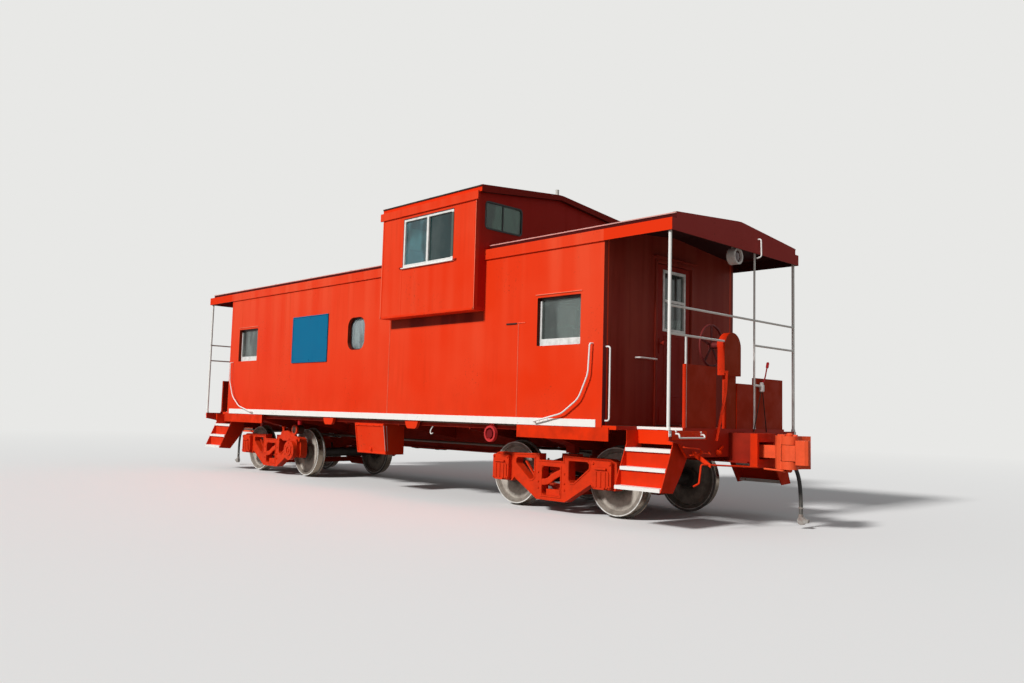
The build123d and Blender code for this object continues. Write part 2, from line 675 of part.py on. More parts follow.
# Hand brake column: a box with a round head on a narrower leg, the gear case of the wheel, the brake rod
# and a strap brace that runs down over the end sill
column_top_z, column_waist_z, column_foot_z = 2263, 1750, deck_z
column_mid_y = (column_y0 + column_y1) / 2
column_half = (column_y1 - column_y0) / 2
column_x0, column_x1 = 5525, 5622
column_leg_half, column_leg_x0, column_leg_x1, column_sheet = 105, 5545, 5600, 10
brake_hub_z, brake_case_depth, brake_case_radius = 2120, 70, 85
brace_x0, brace_x1, brace_sheet = 5632, 5666, 8
brace_line = [(column_y0 + 4, 1770), (-306, 1560), (-340, 1440), (-405, 1270), (-465, 1090), (-498, 985)]
with BuildPart() as brake_column:
    with BuildSketch(Plane.YZ.offset(column_x0)) as column_outline:
        with Locations((column_mid_y, column_top_z - column_half)):
            Circle(column_half)
        with Locations((column_mid_y, (column_top_z - column_half + column_waist_z) / 2)):
            Rectangle(2 * column_half, column_top_z - column_half - column_waist_z)
    extrude(amount=column_x1 - column_x0)
    with BuildSketch(Plane.YZ.offset(column_x0)):
        add(column_outline.sketch)
        offset(amount=-column_sheet, mode=Mode.REPLACE)
    extrude(amount=column_x1 - column_x0 - column_sheet, mode=Mode.SUBTRACT)
    with BuildSketch(Plane.YZ.offset(column_leg_x0)):
        with Locations((column_mid_y, (column_foot_z + column_waist_z + column_sheet) / 2)):
            Rectangle(2 * column_leg_half, column_waist_z + column_sheet - column_foot_z)
    extrude(amount=column_leg_x1 - column_leg_x0)
    with BuildSketch(Plane.YZ.offset(column_leg_x0)):
        with Locations((column_mid_y, (column_foot_z + column_waist_z) / 2)):
            Rectangle(2 * (column_leg_half - column_sheet), column_waist_z - column_foot_z)
    extrude(amount=column_leg_x1 - column_leg_x0 - column_sheet, mode=Mode.SUBTRACT)
    with BuildSketch(Plane.YZ.offset(column_x0 - brake_case_depth)):
        with Locations((column_mid_y, brake_hub_z)):
            Circle(brake_case_radius)
    extrude(amount=column_x1 - column_x0 + brake_case_depth - column_sheet / 2)
    with BuildSketch(Plane.XY.offset(column_foot_z)):
        with Locations(((column_x0 + column_x1) / 2, column_mid_y)):
            Circle(12)
    extrude(amount=brake_hub_z - column_foot_z)
    with BuildSketch(Plane.YZ.offset(brace_x0)):
        Polygon(*brace_line, *[(y + brace_sheet, z) for y, z in reversed(brace_line)])
    extrude(amount=brace_x1 - brace_x0)
    with BuildSketch(Plane.YZ.offset(column_x1 - column_sheet)):
        with Locations((column_y0 + 24, 1785)):
            Rectangle(40, 30)
    extrude(amount=brace_x1 - column_x1 + column_sheet)
brake_column.part.label = "brake_column"
export_step(brake_column.part, "parts/brake_column.step")

brake_spokes = 5
brake_wheel_x, brake_wheel_radius = 5325, 250
with BuildPart() as brake_wheel:
    with BuildSketch(Plane.XZ):
        with Locations((brake_wheel_x, brake_wheel_radius)):
            Circle(14)
    revolve(axis=Axis.X)
    with BuildSketch(Plane.YZ.offset(brake_wheel_x - 20)):
        Circle(38)
    extrude(amount=column_x0 - brake_case_depth - brake_wheel_x + 20)
    with BuildSketch(Plane.YZ.offset(brake_wheel_x - 7)):
        with PolarLocations(0, brake_spokes, start_angle=90):
            with Locations((brake_wheel_radius / 2, 0)):
                Rectangle(brake_wheel_radius, 26)
    extrude(amount=14)
brake_wheel_part = Pos(0, column_mid_y, brake_hub_z) * brake_wheel.part
brake_wheel_part.label = "brake_wheel"
export_step(brake_wheel_part, "parts/brake_wheel.step")

# Round lamp under the hood at end A
lamp_z, lamp_radius, lamp_x0, lamp_x1 = 3205, 100, 5520, 5630
lamp_stem_x, lamp_stem = 5560, 50
with BuildPart() as end_lamp:
    with BuildSketch(Plane.YZ.offset(lamp_x0)):
        with Locations((0, lamp_z)):
            Circle(lamp_radius)
    extrude(amount=lamp_x1 - lamp_x0)
    with BuildSketch(Plane.YZ.offset(lamp_x1 - 30)):
        with Locations((0, lamp_z)):
            Circle(lamp_radius - 24)
    extrude(amount=30, mode=Mode.SUBTRACT)
    with BuildSketch(Plane.XY.offset(lamp_z + lamp_radius - 15)):
        with Locations((lamp_stem_x, 0)):
            Rectangle(40, lamp_stem)
    extrude(amount=roof_under(lamp_stem / 2) - lamp_z - lamp_radius + 15)
end_lamp.part.label = "end_lamp"
export_step(end_lamp.part, "parts/end_lamp.step")

# Tool box with its sloping front, hung under the side rail on the -Y side
box_x0, box_x1, box_top_z, box_bottom_z = -415, 345, under_z - 50, 560
with BuildPart() as tool_box:
    with BuildSketch(Plane.YZ.offset(box_x0)):
        Polygon((-1330, box_top_z), (-1255, box_bottom_z), (-930, box_bottom_z), (-930, box_top_z))
    extrude(amount=box_x1 - box_x0)
tool_box.part.label = "tool_box"
export_step(tool_box.part, "parts/tool_box.step")

# Jacking lugs under the side sheets, and the ring fitting on the -Y side
lug_radius, lug_x, lug_y, lug_width = 150, 1110, 1340, 50
ring_x, ring_z, ring_radius = 2795, 965, 105
with BuildPart() as sill_lugs:
    for x in (-lug_x, lug_x):
        with BuildSketch(Plane.XZ.offset(lug_y)):
            with Locations((x, sheet_z)):
                Circle(lug_radius)
            with Locations((x, sheet_z + lug_radius)):
                Rectangle(2 * lug_radius, 2 * lug_radius, mode=Mode.SUBTRACT)
            with Locations((x, sheet_z - lug_radius)):
                Rectangle(2 * lug_radius, 60, mode=Mode.SUBTRACT)
        extrude(amount=lug_width)
    mirror(about=Plane.XZ)
    with BuildSketch(Plane.XZ.offset(half_width - 60)):
        with Locations((ring_x, ring_z)):
            Circle(ring_radius)
    extrude(amount=50)
    with BuildSketch(Plane.XZ.offset(half_width - 45)):
        with Locations((ring_x, ring_z)):
            Circle(ring_radius - 25)
            Circle(ring_radius - 50, mode=Mode.SUBTRACT)
    extrude(amount=40, mode=Mode.SUBTRACT)
    with BuildSketch(Plane.XZ.offset(half_width - 60)):
        with Locations((ring_x, (ring_z + sheet_z) / 2 + 30)):
            Rectangle(80, sheet_z - ring_z - 60)
    extrude(amount=15)
sill_lugs.part.label = "sill_lugs"
export_step(sill_lugs.part, "parts/sill_lugs.step")

# Air reservoir and brake cylinder, hung beside the centre sill: from and to along the car, radius
tank_y, tank_z = 700, 730
tank_steps = [(-1500, -600, 165), (450, 870, 150), (870, 900, 172), (900, 1230, 20)]
tank_hanger_x = (-1400, -820, 520, 790)
with BuildPart() as brake_gear:
    for x0, x1, radius in tank_steps:
        with BuildSketch(Plane.YZ.offset(x0)):
            with Locations((tank_y, tank_z)):
                Circle(radius)
        extrude(amount=x1 - x0)
    for x in tank_hanger_x:
        with BuildSketch(Plane.YZ.offset(x)):
            with Locations((tank_y, (tank_z + under_z) / 2)):
                Rectangle(120, under_z - tank_z)
        extrude(amount=20)
brake_gear.part.label = "brake_gear"
export_step(brake_gear.part, "parts/brake_gear.step")

# Train pipe between the angle cocks, with a cock at each end and its clamps under the end sills
# Air hose at end A, from the cock to its coupling; it hangs under its own weight
hose_route = [
    (6160, 350, 720), (6200, 350, 640), (6226, 350, 530), (6238, 350, 400), (6242, 350, 270), (6240, 350, 165),
]
hose_radius = 23
pipe_y, pipe_z, pipe_radius = 350, 765, 20
cock_x, cock_radius = 6080, 31
hose_start_x, hose_start_y, hose_start_z = hose_route[0]
cock_elbow_x = hose_start_x - (pipe_z - hose_start_z) / 2
with BuildPart() as cock:
    with BuildLine() as cock_path:
        FilletPolyline(
            (cock_x - 20, pipe_y, pipe_z), (cock_elbow_x, pipe_y, pipe_z), hose_route[0], radius=60,
        )
    with BuildSketch(Plane(origin=cock_path.line @ 0, z_dir=cock_path.line % 0)):
        Circle(cock_radius)
    sweep(path=cock_path.line)
    with BuildSketch(Plane.XY.offset(pipe_z)):
        with Locations((cock_x + 15, pipe_y)):
            Circle(14)
    extrude(amount=75)
    with BuildSketch(Plane.XY.offset(pipe_z + 62)):
        with Locations((cock_x - 45, pipe_y)):
            Rectangle(140, 22)
    extrude(amount=10)
    with BuildSketch(Plane.YZ.offset(sill_x + 5)):
        with Locations((pipe_y, (pipe_z + 800) / 2)):
            Rectangle(60, 800 - pipe_z)
    extrude(amount=20)
with BuildPart() as train_pipe:
    with BuildLine() as pipe_path:
        FilletPolyline(
            (cock_x, pipe_y, pipe_z), (3150, pipe_y, pipe_z), (2850, -pipe_y, pipe_z), (-cock_x, -pipe_y, pipe_z),
            radius=150,
        )
    with BuildSketch(Plane(origin=pipe_path.line @ 0, z_dir=pipe_path.line % 0)):
        Circle(pipe_radius)
    sweep(path=pipe_path.line)
    add(cock.part)
    add(cock.part.rotate(Axis.Z, 180))
train_pipe.part.label = "train_pipe"
export_step(train_pipe.part, "parts/train_pipe.step")


def bend_radii(route):
    """Return, for each inner point of a route, the bend radius that takes 0.45 of its shorter run."""
    points = [Vector(*point) for point in route]
    radii = []
    for before, here, after in zip(points, points[1:], points[2:]):
        turn = (here - before).get_angle(after - here)
        shorter = min((here - before).length, (after - here).length)
        radii.append(0.45 * shorter / tan(radians(turn / 2)))
    return radii


hose_bends = bend_radii(hose_route)
print("air hose bend radii", [round(radius) for radius in hose_bends])
with BuildPart() as air_hose:
    with BuildLine() as hose_path:
        FilletPolyline(*hose_route, radius=hose_bends)
    with BuildSketch(Plane(origin=hose_path.line @ 0, z_dir=hose_path.line % 0)):
        Circle(hose_radius)
    sweep(path=hose_path.line)
hose_length = sum(edge.length for edge in hose_path.edges())
hose_volume = hose_length * pi * hose_radius ** 2
print("air hose length", round(hose_length), "volume over length times section",
      round(air_hose.part.volume / hose_volume, 4))
hose_end_x, hose_end_y, hose_end_z = hose_route[-1]
with BuildPart() as hose_coupling:
    with BuildSketch(Plane(origin=hose_path.line @ 1, z_dir=hose_path.line % 1)):
        Circle(hose_radius + 5)
    extrude(amount=45)
    with BuildSketch(Plane.XZ.offset(-hose_end_y - 26)):
        with Locations((hose_end_x + 12, hose_end_z - 75)):
            Circle(46)
        Polygon(
            (hose_end_x + 5, hose_end_z - 42), (hose_end_x + 95, hose_end_z - 60),
            (hose_end_x + 95, hose_end_z - 92), (hose_end_x + 5, hose_end_z - 110),
        )
    extrude(amount=52)
for end, angle in (("a", 0), ("b", 180)):
    for kind, block in (("air_hose", air_hose), ("hose_coupling", hose_coupling)):
        piece = block.part.rotate(Axis.Z, angle)
        piece.label = f"{kind}_{end}"
        export_step(piece, f"parts/{kind}_{end}.step")

# Uncoupling levers with their brackets on the end sills
lever_radius = 10
with BuildPart() as lever:
    with BuildLine() as lever_path:
        FilletPolyline(
            (5745, -1100, 500), (5775, -1040, 530), (5775, -1000, 735), (6050, -290, 705), radius=[25, 30],
        )
    with BuildSketch(Plane(origin=lever_path.line @ 0, z_dir=lever_path.line % 0)):
        Circle(lever_radius)
    sweep(path=lever_path.line)
    with BuildSketch(Plane.XZ.offset(905)):
        Polygon((platform_x, 870), (platform_x, 805), (5840, 700), (5840, 740))
    extrude(amount=12)
with BuildPart() as uncoupling_levers:
    add(lever.part)
    add(lever.part.rotate(Axis.Z, 180))
uncoupling_levers.part.label = "uncoupling_levers"
export_step(uncoupling_levers.part, "parts/uncoupling_levers.step")

# Door leaves, their sashes and glass, turned for each end
for end, angle in (("a", 0), ("b", 180)):
    for kind, block in (("door", door), ("door_sash", door_sash), ("door_glass", door_glass)):
        piece = block.part.rotate(Axis.Z, angle)
        piece.label = f"{kind}_{end}"
        export_step(piece, f"parts/{kind}_{end}.step")

# Couplers: shank, head with its guard arm, and two lugs between which the hub of the knuckle turns
shank_half_y, shank_half_z = 65, 72
head_x, head_z0, head_z1 = 6150, 695, 1065
hub_x, hub_y, hub_z0, hub_z1, hub_radius = 6352, -128, 790, 965, 88
knuckle_gap, lug_reach = 5, 90
knuckle_pin_radius, pocket_y1, throat_x = 18, -30, 6390
head_outline = [
    (head_x, -75), (6215, -165), (6270, -192), (hub_x, -192), (hub_x, -60), (throat_x, pocket_y1),
    (throat_x, 85), (6410, 140), (6438, 202), (6418, 222), (6380, 190), (6190, 150), (head_x, 75),
]
with BuildPart() as coupler:
    with BuildSketch(Plane.XY.offset(coupler_z - shank_half_z)):
        with Locations(((coupler_pin_x + head_x) / 2, 0)):
            Rectangle(head_x - coupler_pin_x, 2 * shank_half_y)
        with Locations((coupler_pin_x, 0)):
            Circle(shank_half_y)
            Circle(draft_pin_radius + 3, mode=Mode.SUBTRACT)
    extrude(amount=2 * shank_half_z)
    with BuildSketch(Plane.XY.offset(head_z0)):
        Polygon(*head_outline)
        with Locations((hub_x, hub_y)):
            Circle(lug_reach)
    extrude(amount=head_z1 - head_z0)
    with BuildSketch(Plane.XY.offset(hub_z0 - knuckle_gap)):
        with Locations((hub_x, hub_y)):
            Circle(hub_radius + knuckle_gap + 1)
        Polygon((hub_x, -300), (6620, -300), (6620, pocket_y1), (hub_x, pocket_y1))
    extrude(amount=hub_z1 - hub_z0 + 2 * knuckle_gap, mode=Mode.SUBTRACT)
    with BuildSketch(Plane.XY.offset(head_z0)):
        with Locations((hub_x, hub_y)):
            Circle(knuckle_pin_radius)
    extrude(amount=head_z1 - head_z0 + 12)

knuckle_z0, knuckle_z1 = 750, 1020
arm_outline = [(hub_x, -216), (6450, -190), (6450, -62), (hub_x, -40)]
knuckle_outline = [
    (6448, -190), (6560, -192), (6592, -165), (6590, -120), (6542, -22), (6516, 14), (6480, 5), (6448, -62),
]
with BuildPart() as knuckle:
    with BuildSketch(Plane.XY.offset(hub_z0)):
        with Locations((hub_x, hub_y)):
            Circle(hub_radius)
        Polygon(*arm_outline)
        with Locations((hub_x, hub_y)):
            Circle(knuckle_pin_radius + 3, mode=Mode.SUBTRACT)
    extrude(amount=hub_z1 - hub_z0)
    with BuildSketch(Plane.XY.offset(knuckle_z0)) as knuckle_plan:
        Polygon(*knuckle_outline)
        fillet(knuckle_plan.vertices(), radius=10)
    extrude(amount=knuckle_z1 - knuckle_z0)

for end, angle in (("a", 0), ("b", 180)):
    for kind, block in (("coupler", coupler), ("knuckle", knuckle)):
        piece = block.part.rotate(Axis.Z, angle)
        piece.label = f"{kind}_{end}"
        export_step(piece, f"parts/{kind}_{end}.step")

# Wheelset: two wheels and their axle turned in one profile, as distance from the middle and radius
flange_y = flange_gauge / 2
rim_y = flange_y + rim_width
flange_radius = wheel_radius + flange_depth
wheel_profile = [
    (0, 0), (0, axle_radius), (flange_y - 20, axle_radius), (flange_y - 10, 130), (flange_y + 45, 140),
    (flange_y + 62, 352), (flange_y, 365), (flange_y, flange_radius - 12), (flange_y + 9, flange_radius),
    (flange_y + 20, flange_radius - 3), (flange_y + 33, wheel_radius + 1), (rim_y, wheel_radius - 5),
    (rim_y, 360), (rim_y - 42, 350), (rim_y - 58, 145), (rim_y + 15, 132), (rim_y + 15, 92),
    (rim_y + 30, journal_radius), (journal_end_y, journal_radius), (journal_end_y, 0),
]
with BuildPart() as wheelset:
    with BuildSketch(Plane.YZ):
        Polygon(*wheel_profile)
    revolve(axis=Axis.Y)
    mirror(about=Plane.XZ)

# Truck side frames: cast outline with two windows, the spring opening and a box with a lid over each journal
frame_y0, frame_y1 = 920, 1040
box_x = wheelbase / 2
box_depth, lid_depth, lid_rib = 60, 14, 10
journal_gap = 4
frame_outline = mirrored([
    (0, 655), (205, 655), (205, 735), (600, 722), (960, 722), (1060, 680), (1075, 540), (1075, 400),
    (1040, 352), (700, 352), (660, 400), (245, 150), (0, 150),
])
frame_window = [(300, 668), (600, 668), (628, 640), (628, 590), (380, 398), (330, 398), (300, 430)]
opening_width, opening_z0, opening_z1, opening_radius = 316, 212, 578, 40
with BuildPart() as side_frame:
    with BuildSketch(Plane.XZ.offset(frame_y0)):
        Polygon(*frame_outline)
    extrude(amount=frame_y1 - frame_y0)
    with BuildSketch(Plane.XZ.offset(frame_y0)) as windows_plan:
        Polygon(*frame_window)
        fillet(windows_plan.vertices(), radius=22)
        mirror(about=Plane.YZ)
        with Locations((0, (opening_z0 + opening_z1) / 2)):
            RectangleRounded(opening_width, opening_z1 - opening_z0, opening_radius)
    extrude(amount=frame_y1 - frame_y0, mode=Mode.SUBTRACT)
    with BuildSketch(Plane.XZ.offset(frame_y1)):
        with Locations((-box_x, 530), (box_x, 530)):
            RectangleRounded(300, 330, 30)
    extrude(amount=box_depth)
    with BuildSketch(Plane.XZ.offset(frame_y1 + box_depth)):
        with Locations((-box_x, 480), (box_x, 480)):
            RectangleRounded(240, 210, 40)
    extrude(amount=lid_depth)
    with BuildSketch(Plane.XZ.offset(frame_y1 + box_depth + lid_depth)):
        for rib in (-70, 0, 70):
            with Locations((-box_x + rib, 480), (box_x + rib, 480)):
                Rectangle(18, 180)
    extrude(amount=lid_rib)
    with BuildSketch(Plane.XZ.offset(frame_y0)):
        with Locations((-box_x, axle_z), (box_x, axle_z)):
            Circle(journal_radius + journal_gap)
    extrude(amount=journal_end_y + 5 - frame_y0, mode=Mode.SUBTRACT)
with BuildPart() as truck_sides:
    add(side_frame.part)
    mirror(about=Plane.XZ)

# Truck bolster with its centre bowl and side bearings, and the spring plank through the side frames
truck_bolster_half_x, truck_bolster_z0, truck_bolster_z1 = 135, 520, 680
bowl_depth, bowl_wall, bearing_gap = 30, 30, 10
plank_half_x, plank_half_y, plank_z0, plank_z1 = 115, 1005, opening_z0, 290
bolster_outline = mirrored([
    (0, truck_bolster_z1), (side_bearing_y - 60, truck_bolster_z1),
    (side_bearing_y - 50, side_bearing_z - bearing_gap), (side_bearing_y + 50, side_bearing_z - bearing_gap),
    (side_bearing_y + 60, truck_bolster_z1), (frame_y0, truck_bolster_z1 - 40), (frame_y0, truck_bolster_z0),
    (520, truck_bolster_z0), (300, 470), (0, 470),
])
# Brake shoes hug the tread from the bolster side: their middle along the axle, and width
shoe_y, shoe_width = 765, 80
shoe_gap, shoe_depth, shoe_half_height = 6, 42, 150
beam_x0, beam_x1, beam_z0, beam_z1 = 350, 405, 345, 405
with BuildPart() as truck_bolster:
    with BuildSketch(Plane.YZ.offset(-truck_bolster_half_x)):
        Polygon(*bolster_outline)
    extrude(amount=2 * truck_bolster_half_x)
    with BuildSketch(Plane.XY.offset(truck_bolster_z1 - bowl_depth)):
        Circle(centre_plate_radius + bowl_wall)
    extrude(amount=bowl_depth + 20)
    with BuildSketch(Plane.XY.offset(centre_plate_z - 5)):
        Circle(centre_plate_radius + 6)
    extrude(amount=60, mode=Mode.SUBTRACT)
    with BuildSketch(Plane.XY.offset(460)):
        Circle(kingpin_radius + 3)
    extrude(amount=300, mode=Mode.SUBTRACT)
    with BuildSketch(Plane.XY.offset(plank_z0)):
        Rectangle(2 * plank_half_x, 2 * plank_half_y)
    extrude(amount=plank_z1 - plank_z0)
with BuildPart() as brake_beam:
    with BuildSketch(Plane.YZ.offset(beam_x0)):
        with Locations((0, (beam_z0 + beam_z1) / 2)):
            Rectangle(2 * frame_y0, beam_z1 - beam_z0)
    extrude(amount=beam_x1 - beam_x0)
    for y in (-shoe_y, shoe_y):
        with BuildSketch(Plane.XZ.offset(-y - shoe_width / 2)):
            with Locations((box_x, axle_z)):
                Circle(wheel_radius + shoe_gap + shoe_depth)
                Circle(wheel_radius + shoe_gap, mode=Mode.SUBTRACT)
            with Locations((box_x - wheel_radius, axle_z)):
                Rectangle(2 * shoe_depth + 90, 2 * shoe_half_height, mode=Mode.INTERSECT)
            Polygon((beam_x1 - 5, beam_z0), (beam_x1 - 5, beam_z1), (beam_x1 + 25, beam_z1), (beam_x1 + 25, beam_z0))
        extrude(amount=shoe_width)
    mirror(about=Plane.YZ)

# Full-elliptic leaf springs between plank and bolster: half spans of the leaves, the long one first
leaf_half_spans = (330, 265, 195, 120)
leaf_thickness, spring_width, spring_y0 = 14, 100, 800
spring_mid_z = (plank_z1 + truck_bolster_z0) / 2
leaf_stack = len(leaf_half_spans) * leaf_thickness
leaf_rise = truck_bolster_z0 - leaf_stack - spring_mid_z + leaf_thickness / 2
leaf_radius = (leaf_half_spans[0] ** 2 + leaf_rise ** 2) / (2 * leaf_rise) - leaf_thickness / 2
leaf_centre_z = truck_bolster_z0 - leaf_stack - leaf_radius
band_half_x = 36
with BuildPart() as half_spring:
    for index, half_span in enumerate(leaf_half_spans):
        inner_radius = leaf_radius + index * leaf_thickness
        with BuildSketch(Plane.XZ.offset(spring_y0)):
            with Locations((0, leaf_centre_z)):
                Circle(inner_radius + leaf_thickness)
                Circle(inner_radius, mode=Mode.SUBTRACT)
            with Locations((0, truck_bolster_z0 - 100)):
                Rectangle(2 * half_span, 220, mode=Mode.INTERSECT)
        extrude(amount=spring_width)
    with BuildSketch(Plane.XZ.offset(spring_y0 - 5)):
        with Locations((0, truck_bolster_z0 - leaf_stack / 2 - 4)):
            Rectangle(2 * band_half_x, leaf_stack + 8)
    extrude(amount=spring_width + 10)
with BuildPart() as leaf_springs:
    add(half_spring.part)
    mirror(about=Plane.XY.offset(spring_mid_z))
    mirror(about=Plane.XZ)

# Trucks and their wheelsets, put under both ends of the car
for end, side in (("a", 1), ("b", -1)):
    for kind, block in (
        ("truck_sides", truck_sides), ("truck_bolster", truck_bolster), ("brake_beams", brake_beam),
        ("leaf_springs", leaf_springs),
    ):
        piece = Pos(side * truck_x, 0, 0) * block.part
        piece.label = f"{kind}_{end}"
        export_step(piece, f"parts/{kind}_{end}.step")
for number, x in enumerate((truck_x + box_x, truck_x - box_x, box_x - truck_x, -truck_x - box_x), 1):
    piece = Pos(x, 0, axle_z) * wheelset.part
    piece.label = f"wheelset_{number}"
    export_step(piece, f"parts/wheelset_{number}.step")

# Drive case over one journal of truck B, a shallow drum that leaves the lid free
drive_x, drive_radius, drive_depth = box_x - truck_x, 170, 75
with BuildPart() as axle_drive:
    with BuildSketch(Plane.XZ.offset(frame_y1 + box_depth)):
        with Locations((drive_x, 480)):
            Circle(drive_radius)
    extrude(amount=drive_depth)
    with BuildSketch(Plane.XZ.offset(frame_y1 + box_depth)):
        with Locations((drive_x, 480)):
            Circle(drive_radius - 14)
    extrude(amount=lid_depth + lid_rib + 6, mode=Mode.SUBTRACT)
    with BuildSketch(Plane.XZ.offset(frame_y1 + box_depth + drive_depth)):
        with Locations((drive_x, 480)):
            Circle(95)
            Circle(60, mode=Mode.SUBTRACT)
    extrude(amount=14)
axle_drive.part.label = "axle_drive"
export_step(axle_drive.part, "parts/axle_drive.step")
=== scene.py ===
"""Looks of a railway caboose with a wide cupola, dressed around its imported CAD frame.

Metres. +X is the end with the hand brake (end A), -Y the side with the blue plate, +Z up.
"""
import json
import logging
import math
from collections.abc import Sequence
from dataclasses import dataclass, field, replace
from enum import Enum
from typing import Any

import bmesh
import bpy
import numpy as np
from mathutils import Matrix, Vector

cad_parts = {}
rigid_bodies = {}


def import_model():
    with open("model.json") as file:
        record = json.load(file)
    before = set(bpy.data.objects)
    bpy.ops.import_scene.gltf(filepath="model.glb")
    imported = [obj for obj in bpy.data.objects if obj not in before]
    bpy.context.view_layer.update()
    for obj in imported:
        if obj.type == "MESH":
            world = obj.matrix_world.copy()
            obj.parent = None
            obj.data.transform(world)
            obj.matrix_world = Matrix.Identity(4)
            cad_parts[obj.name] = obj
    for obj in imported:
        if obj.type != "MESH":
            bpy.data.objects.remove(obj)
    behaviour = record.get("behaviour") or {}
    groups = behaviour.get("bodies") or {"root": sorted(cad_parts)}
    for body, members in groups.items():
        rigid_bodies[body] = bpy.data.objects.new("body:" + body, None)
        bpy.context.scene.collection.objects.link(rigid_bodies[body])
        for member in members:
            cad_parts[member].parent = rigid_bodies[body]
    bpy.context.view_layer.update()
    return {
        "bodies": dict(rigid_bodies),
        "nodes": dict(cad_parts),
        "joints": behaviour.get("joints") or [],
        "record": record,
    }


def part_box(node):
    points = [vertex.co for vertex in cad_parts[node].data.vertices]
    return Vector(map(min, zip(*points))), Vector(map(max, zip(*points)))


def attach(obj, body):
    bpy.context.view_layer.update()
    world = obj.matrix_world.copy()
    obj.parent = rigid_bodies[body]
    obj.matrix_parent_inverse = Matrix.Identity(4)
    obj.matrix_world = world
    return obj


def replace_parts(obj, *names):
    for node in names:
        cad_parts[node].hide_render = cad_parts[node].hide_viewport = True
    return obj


log = logging.getLogger("caboose")
Socket = bpy.types.NodeSocket
Pair = tuple[float, float]
Point = tuple[float, float, float]
Place = Point | np.ndarray
Pairs = Sequence[Pair]
Route = Sequence[Point] | np.ndarray
# Directions: towards end A, across the car, up, and out of its near side
ALONG = (1.0, 0.0, 0.0)
ACROSS = (0.0, 1.0, 0.0)
UP = (0.0, 0.0, 1.0)
NEAR = (0.0, -1.0, 0.0)
# How far pieces are sunk in what carries them, or stop short of the next one, in metres
SUNK = 0.002


def linear(hex_colour: str) -> tuple[float, float, float, float]:
    """Turn an sRGB hex value to linear colour with full alpha.

    Args:
        hex_colour: "#RRGGBB".

    Returns:
        Linear red, green, blue and an alpha of 1.
    """
    parts = [int(hex_colour[i:i + 2], 16) / 255 for i in (1, 3, 5)]
    red, green, blue = (c / 12.92 if c <= 0.04045 else ((c + 0.055) / 1.055) ** 2.4 for c in parts)
    return red, green, blue, 1.0


def add_node(tree: bpy.types.NodeTree, kind: str, options: dict[str, Any] | None = None,
             inputs: dict[Any, Any] | None = None) -> bpy.types.Node:
    """Add a node with its settings and links.

    Args:
        tree: the node tree that takes it.
        kind: the node's type name.
        options: settings of the node itself.
        inputs: socket name or index to a value, or to the output socket linked there.

    Returns:
        The new node.
    """
    node = tree.nodes.new(kind)
    for name, value in (options or {}).items():
        setattr(node, name, value)
    for key, value in (inputs or {}).items():
        if isinstance(value, Socket):
            tree.links.new(value, node.inputs[key])
        else:
            node.inputs[key].default_value = value
    return node


class Weathering(Enum):
    """How weather marks a painted surface."""

    UPRIGHT = "rain runs down it"
    LEVEL = "dust lies on it"
    UNDER = "dirt from the track clings to it"


class Facing(Enum):
    """Faces that a zone takes: a direction, and how far their (|x|, |y|, z) normal leans to it at least."""

    ANY = ((0.0, 0.0, 0.0), -1.0)
    SIDE = ((0.0, 1.0, 0.0), 0.7)
    END = ((1.0, 0.0, 0.0), 0.7)
    BELOW = ((0.0, 0.0, -1.0), 0.2)


@dataclass(frozen=True)
class Zone:
    """A part of a node that is painted in another colour: a box, and in it the faces that look one way.

    The box is measured from the middle of the car outwards where it is mirrored, so that one zone serves
    both sides and both ends.
    """

    colour: str
    middle: Point
    half: Point
    facing: Facing = Facing.ANY
    mirrored: bool = True


